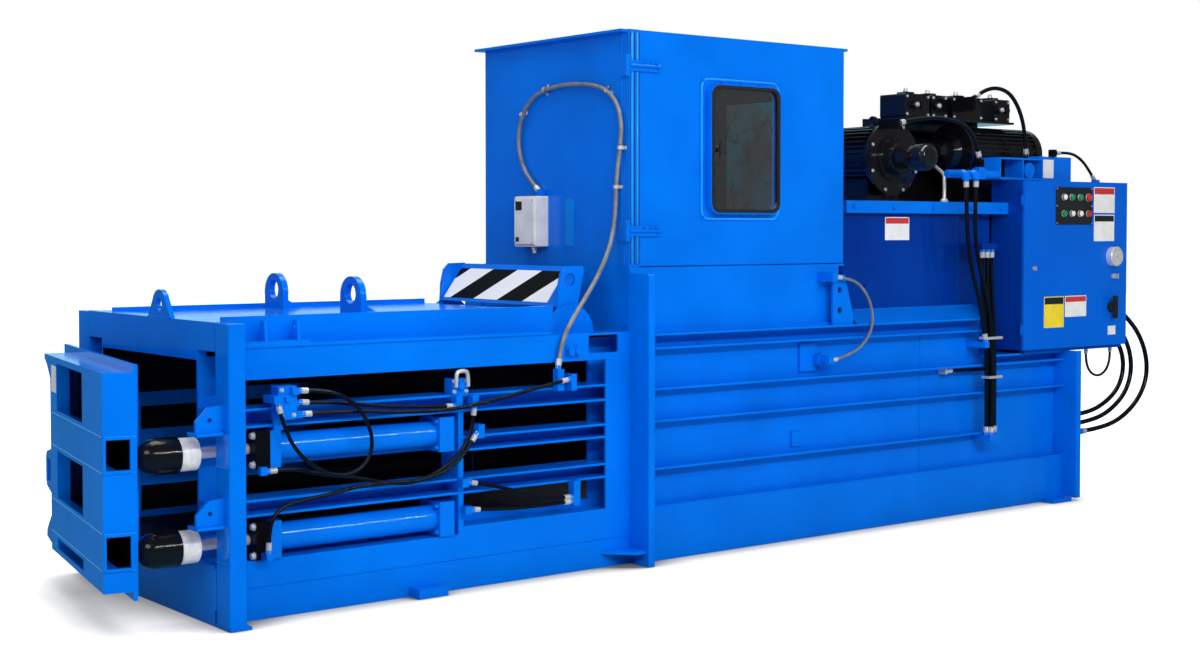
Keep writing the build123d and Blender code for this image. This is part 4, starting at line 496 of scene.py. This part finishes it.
def route(name, points, radius, fineness, resolution):
    """Smooth round line through the given control points."""
    data = bpy.data.curves.new(name, "CURVE")
    data.dimensions = "3D"
    data.bevel_depth = radius
    data.bevel_resolution = fineness
    data.resolution_u = resolution
    data.use_fill_caps = True
    spline = data.splines.new("NURBS")
    spline.points.add(len(points) - 1)
    for target, spot in zip(spline.points, points):
        target.co = (*at(*spot), 1)
    spline.order_u = 3
    spline.use_endpoint_u = True
    return data


# Hoses: the same route corners as in the solids, as control points of one smooth line each
def hose(name, node, diameter, points):
    data = route(name, points, diameter / 2000, 5, 12)
    made = bpy.data.objects.new(name, data)
    bpy.context.scene.collection.objects.link(made)
    data.materials.append(conduit_grey if node == "cables" else rubber)
    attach(made, "frame")
    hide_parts(node)


def at_depth(depth, *corners):
    """Route that keeps one depth, from its corners along and up."""
    return [(x, depth, z) for x, z in corners]


# Name, node it replaces, diameter, length and route, all in millimetres
HOSES = (
    ("front_loop", "front_hoses", 16, 1002, at_depth(
        62, (360, 878), (435, 874), (532, 843), (613, 770), (654, 659), (621, 570), (530, 530), (420, 556),
        (320, 634), (265, 727), (244, 798))),
    ("front_upper", "front_hoses", 16, 640, at_depth(
        105, (386, 828), (540, 816), (700, 794), (880, 777), (1023, 772))),
    ("front_long", "front_hoses", 16, 1221, at_depth(
        82, (386, 786), (580, 784), (800, 763), (1010, 757), (1200, 778), (1402, 812), (1600, 846))),
    ("front_middle", "front_hoses", 16, 1048, at_depth(
        105, (247, 574), (320, 576), (442, 542), (576, 522), (713, 486), (853, 465), (998, 510),
        (1106, 584), (1147, 664), (1157, 726))),
    ("front_lower", "front_hoses", 16, 1079, at_depth(
        82, (202, 303), (206, 372), (248, 430), (330, 452), (463, 462), (575, 482), (690, 488), (806, 478),
        (949, 489), (1072, 537), (1136, 623))),
    ("front_right_a", "front_hoses", 16, 472, at_depth(
        105, (1171, 441), (1298, 414), (1430, 370), (1533, 341), (1630, 338))),
    ("front_right_b", "front_hoses", 16, 445, at_depth(
        105, (1186, 330), (1323, 318), (1480, 314), (1630, 316))),
    ("power_arc", "power_hoses", 22, 654, at_depth(
        150, (3834, 2047), (3993, 2073), (4156, 2077), (4308, 2049), (4389, 1983), (4414, 1912))),
    ("power_high", "power_hoses", 22, 617, at_depth(
        262, (4550, 2227), (4608, 2257), (4714, 2273), (4820, 2246), (4899, 2161), (4944, 2052),
        (4957, 1945))),
    ("bundle_a", "power_hoses", 22, 1284, at_depth(
        40, (4267, 1720), (4262, 1600), (4266, 1450), (4304, 1286), (4371, 1127), (4400, 960), (4412, 790),
        (4414, 620), (4406, 455))),
    ("bundle_b", "power_hoses", 22, 788, at_depth(
        40, (4190, 1718), (4194, 1600), (4206, 1440), (4246, 1270), (4310, 1110), (4345, 950))),
    ("bundle_c", "power_hoses", 22, 897, at_depth(
        64, (4350, 1350), (4350, 1240), (4362, 1120), (4384, 970), (4392, 800), (4394, 620), (4394, 455))),
    ("bundle_d", "power_hoses", 22, 897, at_depth(
        64, (4388, 1350), (4388, 1240), (4398, 1120), (4417, 970), (4424, 800), (4426, 620), (4426, 455))),
    ("bundle_e", "power_hoses", 22, 896, at_depth(
        64, (4426, 1350), (4426, 1240), (4434, 1120), (4450, 970), (4456, 800), (4458, 620), (4458, 455))),
    ("gauge_line", "power_hoses", 16, 332, at_depth(
        150, (5108, 1923), (5200, 1928), (5290, 1900), (5360, 1850), (5402, 1806))),
    ("rear_outer", "rear_hoses", 26, 1205, at_depth(
        150, (5673, 1033), (5799, 960), (5920, 821), (5960, 666), (5895, 528), (5741, 420), (5550, 364),
        (5360, 357))),
    ("rear_inner", "rear_hoses", 26, 1047, at_depth(
        215, (5673, 985), (5780, 915), (5870, 800), (5895, 670), (5840, 545), (5700, 450), (5530, 400),
        (5360, 392))),
    ("rear_third", "rear_hoses", 26, 937, at_depth(
        250, (5673, 937), (5775, 868), (5850, 775), (5864, 665), (5808, 560), (5680, 484), (5520, 440),
        (5360, 436))),
    ("under_box", "rear_hoses", 14, 391, at_depth(
        110, (5310, 802), (5310, 737), (5375, 672), (5467, 672), (5532, 737), (5532, 802))),
    ("conduit", "cables", 20, 2481, [
        (2012, 836, 1700), (2012, 905, 1750), (2012, 965, 1840), (2012, 984, 1945), (2012, 950, 2050),
        (2012, 870, 2125), (2012, 765, 2158), (2012, 640, 2172), (2012, 510, 2170), (2012, 390, 2158),
        (2012, 290, 2128), (2012, 215, 2065), (2012, 185, 1975), (2012, 195, 1865), (2012, 218, 1755),
        (2012, 226, 1650), (2012, 232, 1550), (1990, 228, 1455), (1930, 190, 1380), (1860, 150, 1310),
        (1790, 128, 1235), (1720, 118, 1155), (1660, 114, 1080), (1620, 112, 1000), (1607, 110, 940)]),
    ("sensor_cable", "cables", 14, 680, at_depth(
        60, (3290, 1263), (3385, 1250), (3464, 1189), (3508, 1109), (3516, 1024), (3466, 941), (3367, 886),
        (3262, 866))),
)
for name, node, diameter, length, points in HOSES:
    hose("hose_" + name, node, diameter, points)

# Outline of a crimped sleeve: distance from the hose's end, and rise over the hose
SLEEVE = (
    (-0.001, 0.0006), (0.0, 0.0036), (0.006, 0.0038), (0.0075, 0.0033), (0.013, 0.0033),
    (0.0145, 0.0038), (0.0205, 0.0038), (0.022, 0.0033), (0.027, 0.0036), (0.0285, 0.0031),
)
NUT_START = 0.0292
NUT_LENGTH = 0.0155


def ferrule(bm, start, direction, bore):
    """Crimped sleeve with pressed grooves, and a hexagon nut, from the hose's end outwards."""
    turned(bm, [(along, bore + rise) for along, rise in SLEEVE], start, direction, 24)
    nut = bore + 0.0034
    turned(bm, ((0.0, nut), (NUT_LENGTH, nut)), start + direction * NUT_START, direction, 6)


bm = bmesh.new()
for name, node, diameter, length, points in HOSES:
    for tip, inner in ((points[0], points[1]), (points[-1], points[-2])):
        ferrule(bm, at(*tip), (at(*tip) - at(*inner)).normalized(), diameter / 2000)
from_bm("hose_ferrules", bm, "frame", zinc)


# Bolts and nuts
def bolts(name, body, material, direction, across, height, spots):
    """Hexagon heads of one kind; the sizes and the spots are in millimetres."""
    bm = bmesh.new()
    for spot in spots:
        hex_bolt(bm, at(*spot), direction, across / 1000, height / 1000)
    from_bm(name, bm, body, material)


bolts("gland_bolts", "frame", zinc, TO_DOOR, 22, 14,
      [(168, depth, level + rise) for level in CYLINDER_LEVELS for rise in (-56, 56) for depth in (136, 244)])
bolts("manifold_bolts", "frame", zinc, NEAR, 12, 7,
      [(x, 72, z) for x in (254, 306) for z in (786, 884)]
      + [(x, 133, z) for x in (1080, 1140) for z in (826, 870)])
bolts("deck_bolts", "frame", blue, NEAR, 20, 12,
      [(x, SHELL_FACE, 1612) for x in (3470, 3760, 4060, 4360, 4600)])
bolts("window_bolts", "hopper_door", blue, NEAR, 11, 5,
      [(x, SHELL_FACE, z) for x in (2467, 2580, 2703, 2826, 2938) for z in (1557, 2185)]
      + [(x, SHELL_FACE, z) for z in (1680, 1803, 1926, 2049) for x in (2467, 2938)])


# Plain colour fields on the tank, the bracket, the control door and the discharge door
def field(name, body, x, z, depth, ground, header=None, header_height=0):
    """Thin plate over a span along and up, with a coloured band along its top where a header is given."""
    bm = bmesh.new()
    add_box(bm, at(x[0], depth - 0.8, z[0]), at(x[1], depth + 0.2, z[1]), 0.0003)
    from_bm(name, bm, body, ground)
    if header is not None:
        bm = bmesh.new()
        add_box(bm, at(x[0] + 5, depth - 1.2, z[1] - header_height), at(x[1] - 5, depth - 0.6, z[1] - 5), 0.0002)
        from_bm(name + "_head", bm, body, header)


field("tank_field", "frame", (3740, 3922), (1444, 1562), TANK_FACE, label_white, label_red, 34)
for letter, x, z, ground, header, header_height in (
    ("a", (5281, 5472), (1591, 1735), label_white, label_red, 40),
    ("b", (5283, 5470), (1433, 1581), label_white, label_black, 38),
    ("c", (4846, 5019), (962, 1132), label_yellow, label_black, 42),
    ("d", (5029, 5219), (1017, 1133), label_white, label_red, 34),
    ("e", (5420, 5490), (905, 955), label_white, None, 0),
):
    field("door_field_" + letter, "control_door", x, z, CONTROL_FACE, ground, header, header_height)
field("bracket_field", "frame", (4952, 5056), (1782, 1884), SHELL_FACE, label_white)

# Beads in a lighter blue as painted highlights, and a field, on the discharge door, which stands ajar at rest
DOOR_TURN = Matrix.Rotation(DOOR_REST, 4, "Z")


def on_door(x, depth, z):
    """Point on the discharge door, from its place while the door is shut."""
    return DOOR_PIN + DOOR_TURN @ (at(x, depth, z) - DOOR_PIN)


bm = bmesh.new()
for z in (248, 385, 608, 741):
    weld(bm, on_door(-195.5, 140, z), on_door(-195.5, 1160, z), 0.004)
    weld(bm, on_door(-190, 132, z), on_door(-78, 132, z), 0.003)
from_bm("door_weld_beads", bm, "discharge_door", highlight_blue, True)
bm = bmesh.new()
add_box(bm, at(-197.0, 1040, 828) - DOOR_PIN, at(-195.6, 1140, 938) - DOOR_PIN, 0.0003)
bmesh.ops.transform(bm, matrix=Matrix.Translation(DOOR_PIN) @ DOOR_TURN, verts=bm.verts)
from_bm("discharge_field", bm, "discharge_door", label_white)


# Striped field on the flap: black and white bands at a slant, as on any guard
def stripes_material():
    s = Shader("guard_stripes")
    slant = s.math("ADD", s.axis(1), s.math("MULTIPLY", s.axis(2), 1.6))
    band = s.math("FRACT", s.math("ADD", s.math("MULTIPLY", slant, 2.55), 0.2))
    worn = s.math("ADD", band, s.math("MULTIPLY", s.noise(40.0, 2.0), 0.02))
    mask = s.math("GREATER_THAN", worn, 0.5)
    s.set(Base_Color=s.mix(mask, (0.80, 0.82, 0.84), (0.004, 0.004, 0.004)))
    s.set(Roughness=0.45, Coat_Weight=0.0, Specular_IOR_Level=0.08)
    s.set(Normal=s.bump(s.noise(60.0, 2.0), 0.1, 0.0008))
    return s.material


FLAP_FOOT = at(1702, 342, 1158)
STRIPES_WIDTH = (1181 - 342) / 1000
bm = bmesh.new()
slope = Vector((128 / 1000, 0, 175 / 1000)).normalized()
out = Vector((-slope.z, 0, slope.x))
start, end = [FLAP_FOOT + slope * reach + out * 0.0012 for reach in (0.018, 0.188)]
across = Vector((0, STRIPES_WIDTH, 0))
corners = [start, start + across, end + across, end]
front = [bm.verts.new(c) for c in corners]
rear = [bm.verts.new(c - out * 0.0008) for c in corners]
bm.faces.new(front)
bm.faces.new(list(reversed(rear)))
bridge(bm, front, rear)
from_bm("flap_stripes", bm, "safety_flap", stripes_material())


# Gauge: dial, marks with a needle, and glass
def gauge_at(depth):
    return at(GAUGE[0], depth, GAUGE[1])


def clock(degrees):
    """Direction on the dial, clockwise from straight up, and the one a quarter turn on from it."""
    angle = math.radians(degrees)
    return Vector((math.sin(angle), 0, math.cos(angle))), Vector((math.cos(angle), 0, -math.sin(angle)))


DIAL_DEPTH = 11
MARKS = 28
bm = bmesh.new()
turned(bm, ((0, 0.046), (0.001, 0.046)), gauge_at(DIAL_DEPTH), NEAR, 48)
from_bm("gauge_dial", bm, "control_door", white_plastic)
bm = bmesh.new()
middle = gauge_at(DIAL_DEPTH - 1.4)
for k in range(MARKS):
    radial, tangent = clock(-135 + 270 * k / (MARKS - 1))
    inner = middle + radial * (0.034 if k % 3 == 0 else 0.038)
    outer = middle + radial * 0.043
    half = tangent * 0.0007
    bm.faces.new([bm.verts.new(p) for p in (inner - half, inner + half, outer + half, outer - half)])
needle, tangent = clock(-120)
side = tangent * 0.0022
tail = gauge_at(DIAL_DEPTH - 1.8) - needle * 0.01
tip = gauge_at(DIAL_DEPTH - 1.8) + needle * 0.036
bm.faces.new([bm.verts.new(p) for p in (tail + side, tip, tail - side)])
from_bm("gauge_marks", bm, "control_door", label_black)
bm = bmesh.new()
turned(bm, ((0, 0.0468), (0.0015, 0.0468)), gauge_at(9), NEAR, 48)
from_bm("gauge_glass", bm, "control_door", gauge_glass)

# Junction box: lid, dark windows, corner screws with the plug below, and a patch beside it
bm = bmesh.new()
add_box(bm, at(1953, 777, 1428), at(1957.5, 933, 1645), 0.0012)
from_bm("junction_lid", bm, "frame", white_plastic)
bm = bmesh.new()
for near_depth, low_z, high_z in ((872, 1590, 1632), (895, 1440, 1462)):
    add_box(bm, at(1951.5, near_depth, low_z), at(1953.5, 922, high_z), 0.0005)
from_bm("junction_window", bm, "frame", label_black)
bm = bmesh.new()
for depth in (786, 924):
    for z in (1437, 1636):
        turned(bm, ((0, 0.005), (0.002, 0.005), (0.003, 0.003)), at(1953, depth, z), TO_DOOR, 16)
turned(bm, ((0, 0.013), (0.016, 0.013), (0.017, 0.009), (0.03, 0.009)), at(1990, 820, 1416), DOWN, 24)
from_bm("junction_screws", bm, "frame", zinc)
bm = bmesh.new()
add_box(bm, at(2027, 562, 1419), at(2031.5, 624, 1641), 0.001)
from_bm("shell_patch", bm, "frame", patch_blue)


# Hard pipes: one along the press wall and a bent one on the tee
def hard_pipe(name, points, radius, material):
    shaped = bpy.data.objects.new(name + "_line", route(name, points, radius, 4, 10))
    bpy.context.scene.collection.objects.link(shaped)
    mesh = bpy.data.meshes.new_from_object(shaped.evaluated_get(bpy.context.evaluated_depsgraph_get()))
    bpy.data.objects.remove(shaped)
    mesh.name = name
    link(name, mesh, "frame", material)


PIPE_RADIUS = 0.009
hard_pipe("wall_pipe", ((4165, 112, 760), (4290, 110, 758), (4430, 112, 755)), PIPE_RADIUS, rubber)
bm = bmesh.new()
ferrule(bm, at(4165, 112, 760), Vector(TO_DOOR), PIPE_RADIUS)
ferrule(bm, at(4430, 112, 755), Vector(TO_REAR), PIPE_RADIUS)
for x, z in ((4112, 744), (4473, 739)):
    add_box(bm, at(x, 100, z), at(x + 10, PRESS_FACE, z + 32), 0.002)
from_bm("wall_pipe_ends", bm, "frame", zinc)
hard_pipe("tee_pipe", at_depth(118, (1080, 846), (1080, 905), (1100, 912), (1122, 912), (1140, 905), (1140, 846)),
          0.0085, zinc)

# Clamps round the bundle of hoses
bm = bmesh.new()
for level, left, right in ((926, 4352, 4470), (719, 4374, 4472)):
    low_z, high_z = level - 7, level + 7
    for low_depth, high_depth in ((25, 28), (76, 79)):
        add_box(bm, at(left, low_depth, low_z), at(right, high_depth, high_z), 0.001)
    for low_x in (left - 3, right):
        add_box(bm, at(low_x, 25, low_z), at(low_x + 3, 79, high_z), 0.001)
    hex_bolt(bm, at(right - 10, 25, level), NEAR, 0.012, 0.007)
from_bm("bundle_clamps", bm, "frame", zinc)

# Pilot light lenses, bezels and screws on the button panel
for index, (x, z) in enumerate(((5006, 1676), (5075, 1586), (5148, 1586))):
    bm = bmesh.new()
    turned(bm, ((0, 0.0155), (0.005, 0.0152), (0.009, 0.012), (0.0105, 0.006)), at(x, 31.2, z), NEAR, 32)
    from_bm("pilot_lens_%d" % index, bm, "control_door", white_plastic, True)
STOP_BUTTON = (5224, 1676)
bm = bmesh.new()
for x in (5006, 5075, 5148, 5224):
    for z in (1586, 1676):
        ring = 0.0225 if (x, z) == STOP_BUTTON else 0.0185
        turned(bm, ((0, ring), (0.002, ring), (0.003, ring - 0.0012)), at(x, PANEL_FACE, z), NEAR, 32)
for x in (4948, 5256):
    for z in (1533, 1628, 1722):
        turned(bm, ((0, 0.004), (0.002, 0.0035)), at(x, PANEL_FACE, z), NEAR, 16)
from_bm("panel_bezels", bm, "control_door", zinc)

# Hopper door: bars on the hinge straps, beads beside the corner post in a lighter blue as painted highlights, and
# dark strips between them as painted shade in the gaps
STRAP_BAR = ((0, 0.007), (0.160, 0.007), (0.162, 0.011), (0.176, 0.011), (0.179, 0.007))
HINGE_BARREL = ((0, 0.0105), (0.094, 0.0105), (0.096, 0.008))
bm = bmesh.new()
for level in HINGE_LEVELS:
    turned(bm, STRAP_BAR, at(2020, 138, level), TO_REAR, 20)
    turned(bm, HINGE_BARREL, at(2018, SHELL_FACE, level - 47), UP, 24)
    for x in (2110, 2150, 2178):
        hex_bolt(bm, at(x, 143, level + 15), NEAR, 0.011, 0.006, False)
from_bm("hinge_bars", bm, "hopper_door", blue)
bm = bmesh.new()
for x in (2046, 2076):
    turned(bm, ((0, 0.005), (1.035, 0.005)), at(x, 153, 1343), UP, 10)
from_bm("corner_beads", bm, "frame", highlight_blue, True)
bm = bmesh.new()
for left, right in ((2061, 2065), (2088, 2090.5), (2035, 2038)):
    add_box(bm, at(left, 153.5, 1340), at(right, 156, CORNER_TOP), 0.0004)
from_bm("corner_gap_shade", bm, "frame", gasket)

# Wear plate on the end wall inside the hopper, in bare weathered steel
bm = bmesh.new()
add_box(bm, at(3388.0, 420, 1520), at(3393.0, 1005, 2158), 0.002)
from_bm("hopper_wear_plate", bm, "frame", weathered)

# Saddle clips that hold the conduit to the hopper: depth, height and the conduit's lean there
CLIPS = ((950, 2050, 0.55), (765, 2158, 1.45), (290, 2128, 2.4), (195, 1865, 0.0), (224, 1690, 0.0))
SADDLE_RADIUS = 0.0135
bm = bmesh.new()
for depth, z, lean in CLIPS:
    middle = at(2029, depth, z)
    along = Vector((0, math.sin(lean), math.cos(lean)))
    across = Vector((0, math.cos(lean), -math.sin(lean)))
    for reach in (-0.019, 0.019):
        turned(bm, ((0, 0.006), (0.002, 0.006), (0.005, 0.0045)), middle + across * reach, TO_DOOR, 12)
    arc = [middle + across * 0.026, middle + across * SADDLE_RADIUS]
    for angle in [math.pi * i / 8 for i in range(9)]:
        out = Vector((-0.017 - SADDLE_RADIUS * math.sin(angle), 0, 0))
        arc.append(middle + across * (SADDLE_RADIUS * math.cos(angle)) + out)
    arc += [middle - across * SADDLE_RADIUS, middle - across * 0.026]
    one, two = [[bm.verts.new(p + along * w) for p in arc] for w in (-0.008, 0.008)]
    for i in range(len(arc) - 1):
        bm.faces.new((one[i], one[i + 1], two[i + 1], two[i]))
from_bm("conduit_clips", bm, "frame", zinc)

# Black trunking with its lid and straps behind the control box, standing in as painted shade for the dark gap there
bm = bmesh.new()
add_box(bm, at(4671, 288, 831), at(4745, 342, 1632), 0.003)
add_box(bm, at(4676, 284, 836), at(4740, 288, 1627), 0.0015)
for level in (900, 1080, 1260, 1440, 1600):
    add_box(bm, at(4669, 282, level), at(4747, 284, level + 16), 0.0005)
from_bm("trunking_in_shade", bm, "frame", plastic)

# Raised bead round the flange of the hopper door's window, in a lighter blue as a painted highlight
CORNER_RADIUS = 0.040
BEAD_RADIUS = 0.006
bm = bmesh.new()
low = at(2458, SHELL_FACE, 1548)
high = at(2947, SHELL_FACE, 2194)
left, right = low.x + CORNER_RADIUS, high.x - CORNER_RADIUS
bottom, top = low.z + CORNER_RADIUS, high.z - CORNER_RADIUS
rings = []
for centre_x, centre_z, first in ((right, top, 0), (left, top, 90), (left, bottom, 180), (right, bottom, 270)):
    for step in range(7):
        angle = math.radians(first + step * 15)
        outward = Vector((math.cos(angle), 0, math.sin(angle)))
        centre = Vector((centre_x, low.y, centre_z)) + outward * CORNER_RADIUS
        rings.append([
            bm.verts.new(centre + outward * (BEAD_RADIUS * math.cos(t)) + Vector((0, -BEAD_RADIUS * math.sin(t), 0)))
            for t in [math.pi * 2 * i / 8 for i in range(8)]])
for one, two in zip(rings, rings[1:] + rings[:1]):
    bridge(bm, one, two)
from_bm("window_bead", bm, "hopper_door", highlight_blue, True)

# Screws, plugs and caps on the black valve blocks, and screws and caps on the main pump
PUMP_BOLTS = 8
PUMP_BOLT_CIRCLE = 175
bm = bmesh.new()
for left, right in ((4098, 4290), (4306, 4432), (4476, 4726), (4826, 4960)):
    for x in (left + 14, right - 14):
        for z in (2112, 2206):
            turned(bm, ((0, 0.007), (0.006, 0.007), (0.0075, 0.0055)), at(x, 380, z), NEAR, 16)
    middle = (left + right) / 2
    turned(bm, ((0, 0.013), (0.012, 0.013), (0.014, 0.010), (0.022, 0.010)), at(middle, 465, 2235), UP, 20)
    turned(bm, ((0, 0.012), (0.010, 0.012), (0.012, 0.009)), at(middle - 34, 354, 2162), NEAR, 20)
for step in range(PUMP_BOLTS):
    angle = math.radians(22.5 + step * 360 / PUMP_BOLTS)
    spot = at(PUMP[0] + PUMP_BOLT_CIRCLE * math.cos(angle), 253, PUMP[1] + PUMP_BOLT_CIRCLE * math.sin(angle))
    hex_bolt(bm, spot, NEAR, 0.016, 0.006, False)
from_bm("drive_screws", bm, "frame", zinc)
bm = bmesh.new()
turned(bm, ((0, 0.052), (0.004, 0.052), (0.006, 0.046), (0.008, 0.030)), at(PUMP[0], 11, PUMP[1]), NEAR, 40)
turned(bm, ((0, 0.0605), (0.006, 0.0615), (0.012, 0.0605)), at(PUMP[0], 120, PUMP[1]), NEAR, 40)
from_bm("pump_cap", bm, "frame", black, True)

# Drain pipe with fittings between the second pump and the deck
PUMP_DRAIN = ((4366, 430, 1868), (4330, 380, 1840), (4262, 250, 1796), (4206, 200, 1740), (4200, 196, 1644))
hard_pipe("pump_drain", PUMP_DRAIN, PIPE_RADIUS, zinc)
bm = bmesh.new()
ferrule(bm, at(4200, 196, 1664), Vector(DOWN), PIPE_RADIUS)
hex_bolt(bm, at(4200, 196, 1643), UP, 0.034, 0.012)
from_bm("pump_drain_fitting", bm, "frame", zinc)

# Weld beads on the frame: the near front post's joints and foot, and the hinge plates beside it
bm = bmesh.new()
for z in (250, 609, 750):
    weld(bm, at(2, 2.8, z), at(69, 2.8, z), 0.0045)
    weld(bm, at(0, 4, z), at(0, 116, z), 0.0045)
for z in (740, 815, 398, 465):
    weld(bm, at(72, 133, z), at(72, 262, z), 0.0035)
weld(bm, at(0, 2.3, 12), at(71, 2.3, 12), 0.004)
weld(bm, at(0, 2.3, 12), at(0, 118, 12), 0.004)
for z in (390, 738):
    weld(bm, at(-112, 34, z + 7), at(-112, 116, z + 7), 0.003)
    weld(bm, at(0, 34, z + 1), at(0, 110, z + 1), 0.0035)

# The mid post, upright seams on the press wall, short beads under its ribs, the base's edge and the rear post's foot
weld(bm, at(2017, 133, 262), at(2017, 133, 1030), 0.004)
for x, low_z, high_z in (
    (2054, 255, 1018), (3969, 255, 412), (3969, 428, 627), (3969, 643, 772), (3969, 788, 956),
):
    weld(bm, at(x, PRESS_FACE, low_z), at(x, PRESS_FACE, high_z), 0.004)
for rib_z, end_x in ((415, 4409), (630, 5075), (775, 5075), (959, 4385)):
    for x in range(2200, end_x - 120, 400):
        weld(bm, at(x, PRESS_FACE, rib_z - 1), at(x + 70, PRESS_FACE, rib_z - 1), 0.0035)
weld(bm, at(2053, 100, 250), at(5078, 100, 250), 0.003)
weld(bm, at(5080, 100, 4), at(5080, 100, 246), 0.0035)

# The lifting eyes, then long seams on the tank, the hopper and the roof
for depth in (391, 1065):
    weld(bm, at(740, depth - 82, 1145), at(740, depth + 82, 1145), 0.004)
    weld(bm, at(770, depth - 9, 1145), at(878, depth - 9, 1145), 0.0035)
weld(bm, at(3430, TANK_FACE, 1096), at(4420, TANK_FACE, 1096), 0.0035)
weld(bm, at(2031, SHELL_FACE, 1043), at(3363, SHELL_FACE, 1043), 0.0035)
weld(bm, at(5, 519, 1151), at(5, 732, 1151), 0.0035)
weld(bm, at(131, 128, 1058), at(408, 128, 1058), 0.003)
weld(bm, at(2030, 205, 1335), at(2030, 205, CORNER_TOP), 0.0045)
weld(bm, at(2030, 190, 1335), at(2030, 190, 1440), 0.0045)
from_bm("weld_beads", bm, "frame", blue, True)


# Stage: floor, world and soft lights
def floor_material():
    """Pale floor that glows white to the camera and blue in reflections, with a shade where things stand."""
    s = Shader("floor_pale")
    tree = s.tree
    tone = s.mix(s.noise(1.5, 2.0), (0.87, 0.86, 0.79), (0.88, 0.87, 0.80))
    contact = s.node("ShaderNodeMapRange", Value=s.node("ShaderNodeAmbientOcclusion", Distance=0.26).outputs["AO"])
    contact.inputs["From Min"].default_value = 0.35
    contact.inputs["To Min"].default_value = 0.08
    contact = contact.outputs[0]
    s.set(Base_Color=s.mix(contact, (0.05, 0.05, 0.045), tone), Roughness=0.6, Specular_IOR_Level=0.0)
    from_middle = s.node("ShaderNodeVectorMath", i0=s.place, i1=(0.9, 0.0, 0.0))
    from_middle.operation = "DISTANCE"
    away = s.node("ShaderNodeMapRange", Value=from_middle.outputs["Value"])
    for key, value in (("From Min", 3.4), ("From Max", 7.0), ("To Min", 0.80), ("To Max", 1.0)):
        away.inputs[key].default_value = value
    white = (1, 1, 1, 1)
    glow = s.node("ShaderNodeEmission", Color=white, Strength=s.math("MULTIPLY", away.outputs[0], contact))
    none = s.node("ShaderNodeEmission", Color=white, Strength=0.0)
    mirrored = s.node("ShaderNodeEmission", Color=(0.10, 0.42, 0.80, 1), Strength=0.45)
    path = tree.nodes.new("ShaderNodeLightPath")
    seen = s.math("MAXIMUM", path.outputs["Is Camera Ray"], path.outputs["Is Transmission Ray"])
    add = tree.nodes.new("ShaderNodeAddShader")
    tree.links.new(s.main.outputs[0], add.inputs[0])
    tree.links.new(blend(tree, seen, none, glow).outputs[0], add.inputs[1])
    whole = blend(tree, path.outputs["Is Glossy Ray"], add, mirrored)
    tree.links.new(whole.outputs[0], tree.nodes["Material Output"].inputs["Surface"])
    return s.material


FLOOR_HALF_SIZE = 30
floor_mesh = bpy.data.meshes.new("floor")
bm = bmesh.new()
bmesh.ops.create_grid(bm, x_segments=1, y_segments=1, size=FLOOR_HALF_SIZE)
bm.to_mesh(floor_mesh)
bm.free()
floor = bpy.data.objects.new("floor", floor_mesh)
bpy.context.scene.collection.objects.link(floor)
floor.data.materials.append(floor_material())
floor.location.z = -0.0005


def studio():
    """White to the camera, a blue backdrop behind the machine for reflections, dim elsewhere."""
    world = bpy.data.worlds.new("studio")
    world.use_nodes = True
    tree = world.node_tree
    tree.nodes.clear()

    def background(strength, colour=(1, 1, 1, 1)):
        made = tree.nodes.new("ShaderNodeBackground")
        made.inputs["Color"].default_value = colour
        made.inputs["Strength"].default_value = strength
        return made

    facing = tree.nodes.new("ShaderNodeVectorMath")
    facing.operation = "DOT_PRODUCT"
    tree.links.new(tree.nodes.new("ShaderNodeTexCoord").outputs["Generated"], facing.inputs[0])
    facing.inputs[1].default_value = (math.cos(math.radians(YAW)), math.sin(math.radians(YAW)), 0)
    backdrop = tree.nodes.new("ShaderNodeMapRange")
    tree.links.new(facing.outputs["Value"], backdrop.inputs["Value"])
    backdrop.inputs["From Min"].default_value = 0.50
    backdrop.inputs["From Max"].default_value = 0.90
    path = tree.nodes.new("ShaderNodeLightPath")
    seen = tree.nodes.new("ShaderNodeMath")
    seen.operation = "MAXIMUM"
    tree.links.new(path.outputs["Is Camera Ray"], seen.inputs[0])
    tree.links.new(path.outputs["Is Transmission Ray"], seen.inputs[1])
    reflected = blend(tree, backdrop.outputs[0], background(0.10), background(1.0, (0.45, 0.80, 1.0, 1)))
    unseen = blend(tree, path.outputs["Is Glossy Ray"], background(0.26, (0.95, 0.97, 1.0, 1)), reflected)
    mixed = blend(tree, seen.outputs[0], unseen, background(1.0))
    output = tree.nodes.new("ShaderNodeOutputWorld")
    tree.links.new(mixed.outputs[0], output.inputs["Surface"])
    return world


bpy.context.scene.world = studio()


def area(name, where, aim, size, power, mirrored=True):
    """Rectangular lamp that points at aim; mirrored says whether reflections show it."""
    data = bpy.data.lights.new(name, "AREA")
    data.shape = "RECTANGLE"
    data.size, data.size_y = size
    data.energy = power
    lamp = bpy.data.objects.new(name, data)
    bpy.context.scene.collection.objects.link(lamp)
    lamp.location = where
    lamp.visible_glossy = mirrored
    lamp.rotation_euler = (Vector(aim) - Vector(where)).to_track_quat("-Z", "Y").to_euler()


area("key", (-1.6, -6.8, 5.0), (-0.2, -0.6, 1.1), (8.0, 3.0), 248, False)
area("strip", (-0.6, -6.6, 3.9), (-0.3, -0.6, 0.8), (8.0, 0.14), 225)
area("side", (-7.5, -2.0, 4.0), (-1.5, 0, 0.8), (4.0, 2.0), 98)
area("top", (0.5, 0.5, 6.5), (0.5, 0, 0), (8.0, 3.0), 300)
